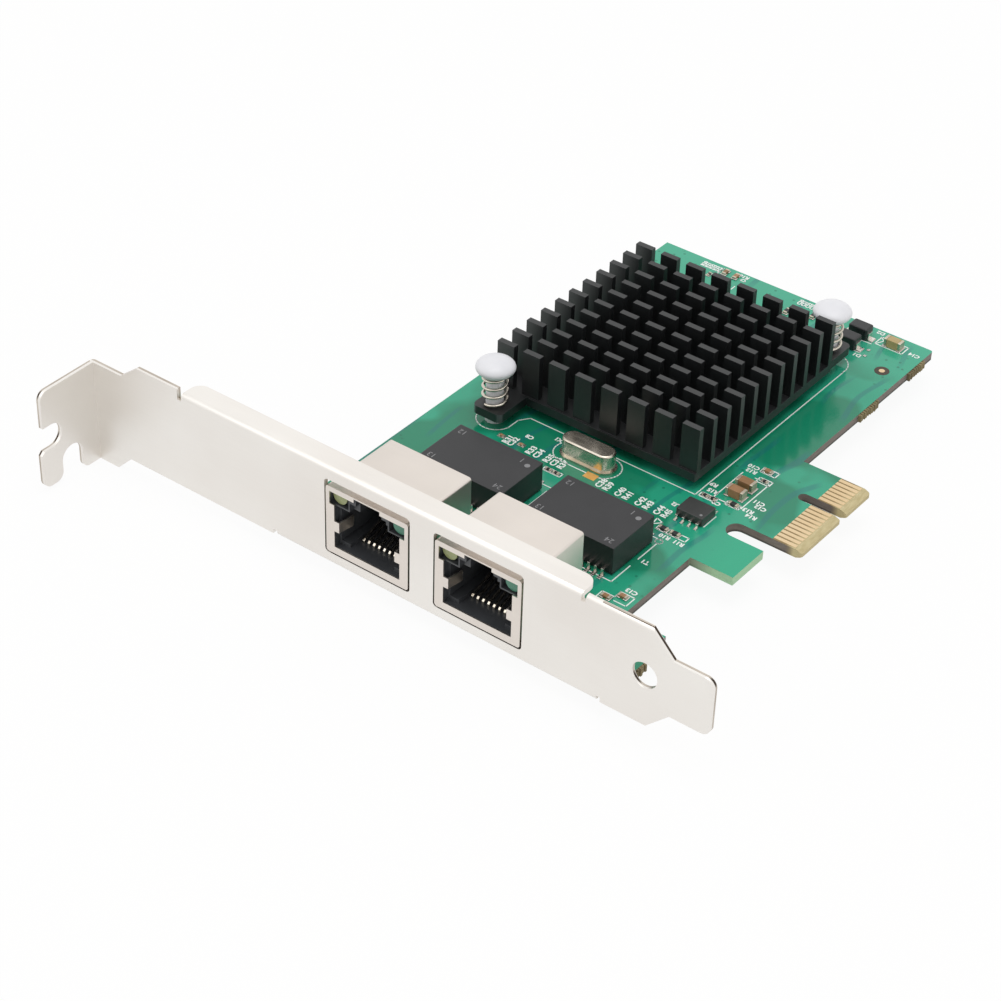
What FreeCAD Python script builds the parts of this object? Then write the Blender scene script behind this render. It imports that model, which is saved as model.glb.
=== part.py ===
import FreeCAD, Part
import Sketcher
import math
import os

# A network interface card on a full-height bracket, with two jacks: the folded steel
# bracket, the circuit board standing behind it, two shielded jacks, two line
# transformers, a controller chip under a cross-cut heat sink held by two push
# pins with springs, and the small parts round them.
#
# The frame, in millimetres: the origin is on the bracket's front face, where the
# plate's lower edge meets the outer face of the folded tab. +X runs along the
# plate towards its narrow tongue, the side on which the board's edge contacts
# are. +Y runs from the plate back along the board. +Z is the component side.

doc = FreeCAD.newDocument("interface_card")
sheet = doc.addObject("Spreadsheet::Sheet", "Sizes")
nodes = {}


class Size:
    """A length: its formula over the cells of the sheet, and its present value."""

    def __init__(self, formula, number):
        self.formula = formula
        self.number = number

    def __add__(self, other):
        return Size(f"({self.formula} + {as_size(other).formula})", self.number + as_size(other).number)

    def __sub__(self, other):
        return Size(f"({self.formula} - {as_size(other).formula})", self.number - as_size(other).number)

    def __mul__(self, factor):
        return Size(f"({self.formula} * {factor})", self.number * factor)

    def __truediv__(self, divisor):
        return Size(f"({self.formula} / {divisor})", self.number / divisor)

    def __neg__(self):
        return Size(f"(0 - {self.formula})", -self.number)

    def __radd__(self, other):
        return as_size(other) + self

    def __rsub__(self, other):
        return as_size(other) - self


def as_size(value):
    return value if isinstance(value, Size) else Size(repr(value), value)


def size(alias, value):
    """Writes one driving dimension into the next row of the sheet."""
    size.row += 1
    sheet.set(f"A{size.row}", alias.replace("_", " "))
    sheet.set(f"B{size.row}", str(value))
    sheet.setAlias(f"B{size.row}", alias)
    return Size(f"Sizes.{alias}", value)


size.row = 0

# Bracket sheet and plate, seen from the front
plate_thick = size("plate_thick", 0.86)
plate_bottom_left = size("plate_bottom_left", -3.0)
plate_top_left = size("plate_top_left", 15.8)
raw_top = size("raw_top", 18.7)
plate_top = size("plate_top", 18.05)
lead_in = size("lead_in", 3.9)
tongue_start = size("tongue_start", 113.1)
tongue_tip = size("tongue_tip", 120.02)
tongue_low = size("tongue_low", 3.85)
tongue_wide = size("tongue_wide", 10.19)
tongue_round = size("tongue_round", 1.6)
left_step = size("left_step", 8.0)
relief_wide = size("relief_wide", 0.8)
relief_deep = size("relief_deep", 1.3)
low_relief_deep = size("low_relief_deep", 0.87)
raw_step_left = size("raw_step_left", 6.9)
raw_step_right = size("raw_step_right", 10.5)
gauge_hole_x = size("gauge_hole_x", 108.45)
gauge_hole_z = size("gauge_hole_z", 9.05)
gauge_hole_radius = size("gauge_hole_radius", 2.25)

# Stiffening flanges folded back from the plate
top_flange_left = size("top_flange_left", 20.0)
flange_stop = size("flange_stop", 12.2)
top_flange_back = size("top_flange_back", 4.2)
flange_round = size("flange_round", 2.0)
fold_radius = size("fold_radius", 0.8)
low_flange_left = size("low_flange_left", 39.3)
low_flange_right = size("low_flange_right", 100.4)
low_flange_back = size("low_flange_back", 4.0)
low_flange_drop = size("low_flange_drop", 0.15)
collar_wall = size("collar_wall", 0.8)

# Tab that the computer's case screws down
tab_deep = size("tab_deep", 11.8)
tab_slot_low = size("tab_slot_low", 4.7)
tab_slot_wide = size("tab_slot_wide", 4.42)
tab_slot_end = size("tab_slot_end", 7.8)
finger_out = size("finger_out", 12.4)
finger_low = size("finger_low", 2.4)
notch_near = size("notch_near", 3.7)
notch_wide = size("notch_wide", 4.5)
notch_top = size("notch_top", 3.0)
tab_corner = size("tab_corner", 1.3)

# Board
board_low = size("board_low", 1.53)
board_thick = size("board_thick", 1.57)
board_left = size("board_left", 39.1)
board_right = size("board_right", 94.4)
board_near = size("board_near", 1.0)
board_far = size("board_far", 106.7)
foot_right = size("foot_right", 102.2)
foot_far = size("foot_far", 15.1)
hook_near = size("hook_near", 33.0)
hook_far = size("hook_far", 41.45)
fingers_near = size("fingers_near", 45.0)
fingers_far = size("fingers_far", 65.3)
fingers_edge = size("fingers_edge", 107.0)
finger_bevel = size("finger_bevel", 1.1)
finger_bevel_drop = size("finger_bevel_drop", 0.45)
comb_round = size("comb_round", 0.45)
key_round = size("key_round", 0.22)
key_middle = size("key_middle", 57.15)
key_wide = size("key_wide", 1.9)
key_end = size("key_end", 98.7)

# Edge contacts, eleven before the key and seven after it
contact_pitch = size("contact_pitch", 1.0)
contact_wide = size("contact_wide", 0.7)
contact_inner = size("contact_inner", 101.6)
contact_long = size("contact_long", 4.0)
contact_from_key = size("contact_from_key", 1.5)
contacts_before_key = 11
contacts_after_key = 7
copper = size("copper", 0.04)

# Jacks
jack_wide = size("jack_wide", 16.0)
jack_deep = size("jack_deep", 15.2)
jack_high = size("jack_high", 11.65)
jack_proud = size("jack_proud", 0.05)
jack_middle = size("jack_middle", 68.05)
jack_pitch = size("jack_pitch", 21.1)
jack_skirt = size("jack_skirt", 0.8)
shield_thick = size("shield_thick", 0.25)
shield_fold = size("shield_fold", 0.5)
window_gap = size("window_gap", 0.3)
window_above = size("window_above", 1.1)
window_round = size("window_round", 0.7)
face_round = size("face_round", 0.5)
mouth_wide = size("mouth_wide", 12.74)
mouth_low = size("mouth_low", 0.5)
mouth_high = size("mouth_high", 8.4)
mouth_deep = size("mouth_deep", 1.05)
lamp_sill_wide = size("lamp_sill_wide", 14.6)
lamp_sill_high = size("lamp_sill_high", 10.72)
latch_wide = size("latch_wide", 5.0)
cavity_wide = size("cavity_wide", 12.0)
cavity_floor = size("cavity_floor", 1.2)
cavity_high = size("cavity_high", 8.1)
cavity_deep = size("cavity_deep", 12.4)
channel_wide = size("channel_wide", 8.6)
channel_floor = size("channel_floor", 0.5)
latch_deep = size("latch_deep", 9.0)
lamp_apart = size("lamp_apart", 5.85)
lamp_high = size("lamp_high", 9.8)
lamp_radius = size("lamp_radius", 1.35)
lamp_wall = size("lamp_wall", 0.25)
lamp_set_back = size("lamp_set_back", 0.8)
lamp_long = size("lamp_long", 6.0)
lamp_recess = size("lamp_recess", 1.3)
lamp_cell = size("lamp_cell", 2.15)
lamp_web_low = size("lamp_web_low", 9.75)
wire_pitch = size("wire_pitch", 1.02)
wire_wide = size("wire_wide", 0.46)
wire_thick = size("wire_thick", 0.3)
wire_front = size("wire_front", 3.4)
wire_bend = size("wire_bend", 1.0)
wire_reach = size("wire_reach", 7.0)
wire_rise = size("wire_rise", 2.6)
wires_in_jack = 8
spring_low = size("spring_low", 3.5)
spring_tall = size("spring_tall", 1.9)
spring_reach = size("spring_reach", 3.0)
spring_flat = size("spring_flat", 0.95)
spring_inward = size("spring_inward", 0.4)

# Line transformers
transformer_left_x = size("transformer_left_x", 58.2)
transformer_right_x = size("transformer_right_x", 79.5)
transformer_y = size("transformer_y", 27.0)
transformer_wide = size("transformer_wide", 16.5)
transformer_deep = size("transformer_deep", 10.8)
transformer_gap = size("transformer_gap", 0.25)
transformer_top = size("transformer_top", 5.2)
lead_pitch = size("lead_pitch", 1.27)
lead_wide = size("lead_wide", 0.45)
lead_thick = size("lead_thick", 0.22)
transformer_lead_out = size("transformer_lead_out", 1.5)
transformer_lead_high = size("transformer_lead_high", 1.3)
transformer_lead_knee = size("transformer_lead_knee", 0.68)
transformer_leads_a_side = 12

# Heat sink
sink_left = size("sink_left", 45.5)
sink_near = size("sink_near", 47.2)
sink_wide = size("sink_wide", 39.8)
sink_deep = size("sink_deep", 40.6)
sink_base = size("sink_base", 1.55)
sink_top = size("sink_top", 14.7)
fin_thick = size("fin_thick", 1.1)
fin_inset = size("fin_inset", 0.4)
blade_long = size("blade_long", 3.35)
fin_rows = 11
blade_columns = 8
ear_reach = size("ear_reach", 2.9)
ear_corner = size("ear_corner", 1.1)
left_ear_shift = size("left_ear_shift", 0.4)
pin_from_side = size("pin_from_side", 3.2)
pin_from_edge = size("pin_from_edge", 4.2)
chip_wide = size("chip_wide", 25.0)
chip_high = size("chip_high", 1.5)
pad_high = size("pad_high", 0.3)

# Push pins and their springs
pin_hole = size("pin_hole", 1.6)
pin_shaft = size("pin_shaft", 1.5)
pin_collar = size("pin_collar", 1.6)
pin_head = size("pin_head", 3.33)
pin_head_half = size("pin_head_half", 1.57)
pin_head_middle = size("pin_head_middle", 10.2)
barb_radius = size("barb_radius", 1.95)
barb_tip = size("barb_tip", 0.9)
barb_tall = size("barb_tall", 2.6)
coil_radius = size("coil_radius", 2.0)
coil_wire = size("coil_wire", 0.25)
coil_turns = 3.25
coil_run = 0.125
coil_start = -105

# Screws that hold the board to the bracket
screw_left_x = size("screw_left_x", 44.0)
screw_right_x = size("screw_right_x", 92.0)
screw_y = size("screw_y", 6.4)
screw_shank = size("screw_shank", 1.45)
screw_head = size("screw_head", 2.75)
screw_head_high = size("screw_head_high", 1.8)
screw_recess = size("screw_recess", 0.9)
screw_tip = size("screw_tip", 0.5)
screw_dome = size("screw_dome", 0.9)
ear_half = size("ear_half", 3.5)
ear_back = size("ear_back", 9.6)

# Crystal, memory chip and power parts
crystal_x = size("crystal_x", 67.55)
crystal_y = size("crystal_y", 43.3)
crystal_long = size("crystal_long", 10.5)
crystal_wide = size("crystal_wide", 4.2)
crystal_rim = size("crystal_rim", 0.35)
crystal_base_high = size("crystal_base_high", 0.4)
crystal_high = size("crystal_high", 3.4)
memory_x = size("memory_x", 89.06)
memory_y = size("memory_y", 42.2)
memory_long = size("memory_long", 4.9)
memory_wide = size("memory_wide", 3.9)
memory_top = size("memory_top", 1.6)
memory_gap = size("memory_gap", 0.15)
memory_lead_out = size("memory_lead_out", 1.05)
memory_lead_high = size("memory_lead_high", 0.85)
memory_lead_knee = size("memory_lead_knee", 0.47)
memory_leads_a_side = 4

# Ceramic capacitors and small chips
capacitor_long = size("capacitor_long", 3.2)
capacitor_wide = size("capacitor_wide", 1.6)
capacitor_high = size("capacitor_high", 1.6)
capacitor_end = size("capacitor_end", 0.5)
capacitor_x = size("capacitor_x", 91.15)
capacitor_near_y = size("capacitor_near_y", 50.5)
capacitor_apart = size("capacitor_apart", 2.8)
far_capacitor_x = size("far_capacitor_x", 88.5)
far_capacitor_y = size("far_capacitor_y", 103.4)
small_long = size("small_long", 1.6)
small_wide = size("small_wide", 0.8)
small_high = size("small_high", 0.5)
small_end = size("small_end", 0.35)
tiny_long = size("tiny_long", 1.0)
tiny_wide = size("tiny_wide", 0.5)
tiny_high = size("tiny_high", 0.35)
tiny_end = size("tiny_end", 0.25)
left_pair_x = size("left_pair_x", 52.7)
left_pair_y = size("left_pair_y", 39.8)
left_pair_apart = size("left_pair_apart", 4.0)
middle_pair_x = size("middle_pair_x", 64.1)
middle_pair_y = size("middle_pair_y", 37.2)
middle_pair_apart = size("middle_pair_apart", 1.5)
corner_pair_x = size("corner_pair_x", 87.3)
corner_pair_y = size("corner_pair_y", 47.5)
corner_pair_apart = size("corner_pair_apart", 1.4)
memory_pair_x = size("memory_pair_x", 87.2)
memory_pair_y = size("memory_pair_y", 36.1)
memory_pair_apart = size("memory_pair_apart", 2.2)
foot_pair_x = size("foot_pair_x", 90.0)
foot_pair_y = size("foot_pair_y", 16.9)
foot_pair_apart = size("foot_pair_apart", 2.0)
comb_chip_x = size("comb_chip_x", 91.6)
comb_chip_y = size("comb_chip_y", 59.1)
edge_chip_x = size("edge_chip_x", 92.6)
edge_chip_y = size("edge_chip_y", 56.6)
box_chip_x = size("box_chip_x", 92.2)
box_chip_y = size("box_chip_y", 48.2)
far_pair_x = size("far_pair_x", 53.1)
far_pair_y = size("far_pair_y", 104.7)
far_pair_apart = size("far_pair_apart", 2.2)
gap_chip_x = size("gap_chip_x", 51.1)
gap_chip_y = size("gap_chip_y", 102.4)
ridge_chip_x = size("ridge_chip_x", 68.4)
ridge_chip_y = size("ridge_chip_y", 100.9)
head_chip_x = size("head_chip_x", 72.8)
head_chip_y = size("head_chip_y", 102.6)
diode_x = size("diode_x", 82.1)
diode_y = size("diode_y", 99.0)
diode_apart = size("diode_apart", 3.9)
diode_long = size("diode_long", 3.7)
diode_wide = size("diode_wide", 2.4)
diode_top = size("diode_top", 2.3)
diode_gap = size("diode_gap", 0.1)
diode_tab = size("diode_tab", 0.9)
diode_lead = size("diode_lead", 1.3)
diode_exit = size("diode_exit", 1.4)
diode_sheet = size("diode_sheet", 0.2)

doc.recompute()

board_top = board_low + board_thick
plane_sign = {"XY_Plane": 1, "XZ_Plane": -1, "YZ_Plane": 1}
nearly_half = 0.495


def full_round(width):
    """The corner radius that rounds the whole end of a slot of this width."""
    return width * nearly_half


def bind(thing, path, length):
    thing.setExpression(path, as_size(length).formula)


def place(thing, *spot):
    for axis, at in zip("xyz", spot):
        bind(thing, f"Placement.Base.{axis}", at)
    return thing


def keep(thing, name):
    """Makes an object of the document one of the card's pieces."""
    thing.Label = name
    nodes[name] = thing
    return thing


def origin_part(body, role):
    return next(part for part in body.Origin.OriginFeatures if part.Role == role)


def on_plane(point, plane):
    """A point's two coordinates in one of the origin planes."""
    spots = {"XY_Plane": (point.x, point.y), "XZ_Plane": (point.x, point.z), "YZ_Plane": (point.y, point.z)}
    return spots[plane]


def add_outline(sketch, corners):
    """Draws a closed outline whose every corner is held by two bound distances."""
    first = sketch.GeometryCount
    spots = [FreeCAD.Vector(as_size(corner[0]).number, as_size(corner[1]).number, 0) for corner in corners]
    for spot, following in zip(spots, spots[1:] + spots[:1]):
        sketch.addGeometry(Part.LineSegment(spot, following), False)
    for index, corner in enumerate(corners):
        line = first + index
        following = first + (index + 1) % len(corners)
        sketch.addConstraint(Sketcher.Constraint("Coincident", line, 2, following, 1))
        for kind, value in (("DistanceX", corner[0]), ("DistanceY", corner[1])):
            held = sketch.addConstraint(Sketcher.Constraint(kind, -1, 1, line, 1, as_size(value).number))
            bind(sketch, f"Constraints[{held}]", value)


def add_circle(sketch, across, up, radius):
    middle = FreeCAD.Vector(as_size(across).number, as_size(up).number, 0)
    ring = sketch.addGeometry(Part.Circle(middle, FreeCAD.Vector(0, 0, 1), as_size(radius).number), False)
    held = sketch.addConstraint(Sketcher.Constraint("Radius", ring, as_size(radius).number))
    bind(sketch, f"Constraints[{held}]", radius)
    for kind, value in (("DistanceX", across), ("DistanceY", up)):
        held = sketch.addConstraint(Sketcher.Constraint(kind, -1, 1, ring, 3, as_size(value).number))
        bind(sketch, f"Constraints[{held}]", value)


def add_sketch(body, name, plane, level, outlines, circles=()):
    """A sketch parallel to one of the body's origin planes, at a level along its axis."""
    sketch = body.newObject("Sketcher::SketchObject", name)
    sketch.AttachmentSupport = (origin_part(body, plane), [""])
    sketch.MapMode = "FlatFace"
    bind(sketch, "AttachmentOffset.Base.z", as_size(level) * plane_sign[plane])
    for outline in outlines:
        add_outline(sketch, outline)
    for circle in circles:
        add_circle(sketch, *circle)
    return sketch


def edges_of(feature, chosen):
    return [f"Edge{index + 1}" for index, edge in enumerate(feature.Shape.Edges) if chosen(edge)]


def soften(body, kind, chosen, amount):
    """Rounds or bevels the chosen edges of the body as it stands."""
    doc.recompute()
    base = body.Tip
    names = edges_of(base, chosen)
    if not names:
        raise ValueError(f"{body.Label}: no edge to soften")
    feature = body.newObject(f"PartDesign::{kind}", f"{base.Name}_{kind.lower()}")
    feature.Base = (base, names)
    bind(feature, "Radius" if kind == "Fillet" else "Size", amount)
    body.Tip = feature
    return feature


def round_corners(body, plane, outlines):
    """Rounds the upright edges at those corners of the outlines that give a radius."""
    radii = {}
    for outline in outlines:
        for corner in outline:
            if len(corner) == 3:
                radii.setdefault(as_size(corner[2]).formula, []).append(corner)
    for group in radii.values():
        spots = [(as_size(corner[0]).number, as_size(corner[1]).number) for corner in group]

        def stands_at_corner(edge):
            if len(edge.Vertexes) != 2:
                return False
            ends = [on_plane(vertex.Point, plane) for vertex in edge.Vertexes]
            return any(math.dist(spot, end) < 1e-4 for spot in spots for end in ends[:1]) and (
                math.dist(*ends) < 1e-4
            )

        soften(body, "Fillet", stands_at_corner, group[0][2])


def pad(body, name, plane, start, depth, outlines, circles=()):
    """Adds a prism of the outlines from one level to another along the plane's axis."""
    sketch = add_sketch(body, f"{name}_outline", plane, start, outlines, circles)
    feature = body.newObject("PartDesign::Pad", name)
    feature.Profile = sketch
    bind(feature, "Length", depth)
    feature.Reversed = plane_sign[plane] < 0
    body.Tip = feature
    round_corners(body, plane, outlines)
    return feature


def pocket(body, name, plane, start, depth, outlines, circles=()):
    """Cuts a prism of the outlines out of the body."""
    doc.recompute()
    before = body.Tip.Shape.Volume
    sketch = add_sketch(body, f"{name}_outline", plane, start, outlines, circles)
    feature = body.newObject("PartDesign::Pocket", name)
    feature.Profile = sketch
    bind(feature, "Length", depth)
    feature.Reversed = plane_sign[plane] > 0
    body.Tip = feature
    doc.recompute()
    if feature.Shape.Volume > before - 1e-6:
        raise ValueError(f"{name} cut nothing")
    return feature


def row(body, feature, axis, pitch, count):
    """Repeats a feature at one pitch along an axis of the body."""
    pattern = body.newObject("PartDesign::LinearPattern", f"{feature.Name}_row")
    pattern.Originals = [feature]
    pattern.Direction = (origin_part(body, axis), [""])
    bind(pattern, "Length", pitch * (count - 1))
    pattern.Occurrences = count
    body.Tip = pattern
    return pattern


def rectangle(left, right, low, high, *radius):
    return [(left, low, *radius), (right, low, *radius), (right, high, *radius), (left, high, *radius)]


def new_body(name):
    return doc.addObject("PartDesign::Body", name)


def box(name, corner, lengths):
    block = place(doc.addObject("Part::Box", name), *corner)
    for side, length in zip(("Length", "Width", "Height"), lengths):
        bind(block, side, length)
    return block


def group(name, pieces):
    """Several like pieces, each a solid of its own, as one named set."""
    together = doc.addObject("Part::Compound", name)
    together.Links = pieces
    return keep(together, name)


def turned(name, profile):
    """A solid of revolution about Z, from corners given as radius and height."""
    body = new_body(name)
    sketch = add_sketch(body, f"{name}_profile", "XZ_Plane", 0, [profile])
    feature = body.newObject("PartDesign::Revolution", f"{name}_turn")
    feature.Profile = sketch
    feature.ReferenceAxis = (sketch, ["V_Axis"])
    feature.Angle = 360
    body.Tip = feature
    return body


def ring_at(radius, height):
    """Chooses the round edge of one radius at one height."""

    def chosen(edge):
        at_height = abs(edge.BoundBox.ZMin - as_size(height).number) < 1e-4 and edge.BoundBox.ZLength < 1e-4
        return at_height and hasattr(edge.Curve, "Radius") and (
            abs(edge.Curve.Radius - as_size(radius).number) < 1e-4
        )

    return chosen


def gull_leads(body, name, half_body, out, knee_out, exit_height, pitch, count):
    """Rows of bent leads on both long sides of a package whose middle is at the body's origin."""
    first_x = -(pitch * (count - 1) / 2)
    for side, word in ((-1, "near"), (1, "far")):
        knee = half_body + knee_out
        bent = [
            (half_body * side, board_top + exit_height),
            ((knee + lead_thick) * side, board_top + exit_height),
            ((knee + lead_thick) * side, board_top + lead_thick),
            ((half_body + out) * side, board_top + lead_thick),
            ((half_body + out) * side, board_top),
            (knee * side, board_top),
            (knee * side, board_top + exit_height - lead_thick),
            (half_body * side, board_top + exit_height - lead_thick),
        ]
        lead = pad(body, f"{name}_{word}", "YZ_Plane", first_x - lead_wide / 2, lead_wide, [bent])
        row(body, lead, "X_Axis", pitch, count)


# The bracket: one steel sheet, blanked and folded

bracket = new_body("io_bracket")
shoulder = plate_top
top_flange_right = tongue_start - lead_in - flange_stop
jack_low = board_top - jack_skirt
jack_top = board_top + jack_high
window_low = jack_low - window_gap
window_high = jack_top + window_above
window_half = jack_wide / 2 + window_gap
jack_spots = {"left": jack_middle - jack_pitch / 2, "right": jack_middle + jack_pitch / 2}
plate_outline = [
    (0, plate_bottom_left),
    (left_step + plate_bottom_left, plate_bottom_left),
    (left_step, 0),
    (low_flange_left - relief_wide, 0),
    (low_flange_left - relief_wide, low_relief_deep),
    (low_flange_left, low_relief_deep),
    (low_flange_left, -low_flange_drop),
    (low_flange_right, -low_flange_drop),
    (low_flange_right, low_relief_deep),
    (low_flange_right + relief_wide, low_relief_deep),
    (low_flange_right + relief_wide, 0),
    (tongue_start - tongue_low, 0),
    (tongue_start, tongue_low),
    (tongue_tip, tongue_low, tongue_round),
    (tongue_tip, tongue_low + tongue_wide, tongue_round),
    (tongue_start, tongue_low + tongue_wide),
    (tongue_start - lead_in, shoulder),
    (top_flange_right + relief_wide, shoulder),
    (top_flange_right + relief_wide, shoulder - relief_deep),
    (top_flange_right, shoulder - relief_deep),
    (top_flange_right, shoulder),
    (top_flange_left, shoulder),
    (top_flange_left, shoulder - relief_deep),
    (top_flange_left - relief_wide, shoulder - relief_deep),
    (top_flange_left - relief_wide, raw_top),
    (raw_step_right, raw_top),
    (raw_step_left, plate_top_left),
    (0, plate_top_left),
]
windows = [
    rectangle(middle - window_half, middle + window_half, window_low, window_high, window_round)
    for middle in jack_spots.values()
]
gauge_hole = (gauge_hole_x, gauge_hole_z, gauge_hole_radius)
pad(bracket, "plate", "XZ_Plane", 0, plate_thick, [plate_outline] + windows, [gauge_hole])
top_flange = [
    (top_flange_left, 0),
    (top_flange_right, 0),
    (top_flange_right, top_flange_back, flange_round),
    (top_flange_left, top_flange_back, flange_round),
]
pad(bracket, "top_flange", "XY_Plane", shoulder - plate_thick, plate_thick, [top_flange])
low_flange = [(low_flange_left, 0), (low_flange_right, 0), (low_flange_right, low_flange_back)]
for middle in (screw_right_x, screw_left_x):
    low_flange += [
        (middle + ear_half, low_flange_back),
        (middle + ear_half, ear_back, flange_round),
        (middle - ear_half, ear_back, flange_round),
        (middle - ear_half, low_flange_back),
    ]
low_flange.append((low_flange_left, low_flange_back))
screw_spots = [(screw_left_x, screw_y), (screw_right_x, screw_y)]
pad(bracket, "low_flange", "XY_Plane", -low_flange_drop, plate_thick, [low_flange])
collar_height = board_low + low_flange_drop - plate_thick
collars = [(*spot, screw_shank + collar_wall) for spot in screw_spots]
pad(bracket, "collars", "XY_Plane", board_low - collar_height, collar_height, [], collars)
pocket(bracket, "threads", "XY_Plane", -low_flange_drop, plate_thick + collar_height, [],
       [(*spot, screw_shank) for spot in screw_spots])
tab_outline = [
    (plate_thick, plate_bottom_left),
    (plate_thick, plate_top_left),
    (-tab_deep, plate_top_left, tongue_round),
    (-tab_deep, tab_slot_low + tab_slot_wide),
    (-tab_slot_end, tab_slot_low + tab_slot_wide, full_round(tab_slot_wide)),
    (-tab_slot_end, tab_slot_low, full_round(tab_slot_wide)),
    (-tab_deep, tab_slot_low),
    (-finger_out, tab_slot_low - (finger_out - tab_deep)),
    (-finger_out, -finger_low, tongue_round),
    (-(notch_near + notch_wide), -finger_low, tongue_round),
    (-(notch_near + notch_wide), notch_top, full_round(notch_wide)),
    (-notch_near, notch_top, full_round(notch_wide)),
    (-notch_near, plate_bottom_left, tab_corner),
]
pad(bracket, "tab", "YZ_Plane", 0, plate_thick, [tab_outline])


def runs_along(axis, *near):
    """Chooses the edges along an axis that lie on a given line."""

    def chosen(edge):
        box_of = edge.BoundBox
        low = {"X": box_of.XMin, "Y": box_of.YMin, "Z": box_of.ZMin}
        high = {"X": box_of.XMax, "Y": box_of.YMax, "Z": box_of.ZMax}
        wanted = [as_size(value).number for value in near]
        others = [other for other in "XYZ" if other != axis]
        lows = [low[other] for other in others]
        highs = [high[other] for other in others]
        return math.dist(lows, wanted) < 1e-4 and math.dist(highs, wanted) < 1e-4

    return chosen


soften(bracket, "Fillet", runs_along("X", 0, shoulder), fold_radius)
soften(bracket, "Fillet", runs_along("X", 0, -low_flange_drop), fold_radius)
soften(bracket, "Fillet", runs_along("Z", 0, plate_thick), fold_radius)
keep(bracket, "io_bracket")
doc.recompute()

# The circuit board, with the comb of the computer's slot on its right edge

board = new_body("circuit_board")
comb_slot = fingers_near - hook_far
board_outline = [
    (board_left, board_near),
    (foot_right, board_near),
    (foot_right, foot_far),
    (board_right, foot_far),
    (board_right, hook_near),
    (foot_right, hook_near),
    (foot_right, hook_far),
    (board_right, hook_far, full_round(comb_slot)),
    (board_right, fingers_near, full_round(comb_slot)),
    (fingers_edge, fingers_near, comb_round),
    (fingers_edge, key_middle - key_wide / 2, key_round),
    (key_end, key_middle - key_wide / 2, full_round(key_wide)),
    (key_end, key_middle + key_wide / 2, full_round(key_wide)),
    (fingers_edge, key_middle + key_wide / 2, key_round),
    (fingers_edge, fingers_far, comb_round),
    (board_right, fingers_far),
    (board_right, board_far, comb_round),
    (board_left, board_far),
]
sink_right = sink_left + sink_wide
sink_far = sink_near + sink_deep
left_pin_x = sink_left + pin_from_side
left_pin_y = sink_near - pin_from_edge
right_pin_x = sink_right - pin_from_side
right_pin_y = sink_far + pin_from_edge
pin_spots = {"left": (left_pin_x, left_pin_y), "right": (right_pin_x, right_pin_y)}
pin_holes = [(*spot, pin_hole) for spot in pin_spots.values()]
screw_holes = [(*spot, screw_shank) for spot in screw_spots]
pad(board, "laminate", "XY_Plane", board_low, board_thick, [board_outline], pin_holes + screw_holes)
for word, face, drop in (("upper", board_top, -finger_bevel_drop), ("lower", board_low, finger_bevel_drop)):
    corner = [(fingers_edge - finger_bevel, face), (fingers_edge, face), (fingers_edge, face + drop)]
    pocket(board, f"{word}_bevel", "XZ_Plane", fingers_near, fingers_far - fingers_near, [corner])
keep(board, "circuit_board")

for word, level in (("front", board_top), ("back", board_low - copper)):
    contacts = new_body(f"edge_contacts_{word}")
    before = key_middle - contact_from_key - contact_pitch * (contacts_before_key - 1)
    after = key_middle + contact_from_key
    runs = (("before_key", before, contacts_before_key), ("after_key", after, contacts_after_key))
    for run, first, count in runs:
        half = contact_wide / 2
        strip = rectangle(contact_inner, contact_inner + contact_long, first - half, first + half)
        contact = pad(contacts, f"{word}_{run}", "XY_Plane", level, copper, [strip])
        row(contacts, contact, "Y_Axis", contact_pitch, count)
    keep(contacts, f"edge_contacts_{word}")

screws = []
for word, spot in zip(("left", "right"), screw_spots):
    shank_end = -low_flange_drop - screw_tip
    head_top = board_top + screw_head_high
    screw = turned(f"{word}_screw", [
        (0, shank_end),
        (screw_shank, shank_end),
        (screw_shank, board_top),
        (screw_head, board_top),
        (screw_head, head_top),
        (screw_recess, head_top),
        (screw_recess, head_top - screw_recess),
        (0, head_top - screw_recess),
    ])
    soften(screw, "Fillet", ring_at(screw_head, head_top), screw_dome)
    screws.append(place(screw, *spot))
group("bracket_screws", screws)


# The two jacks, each a shield round a moulding with its lamps and contact wires


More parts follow.
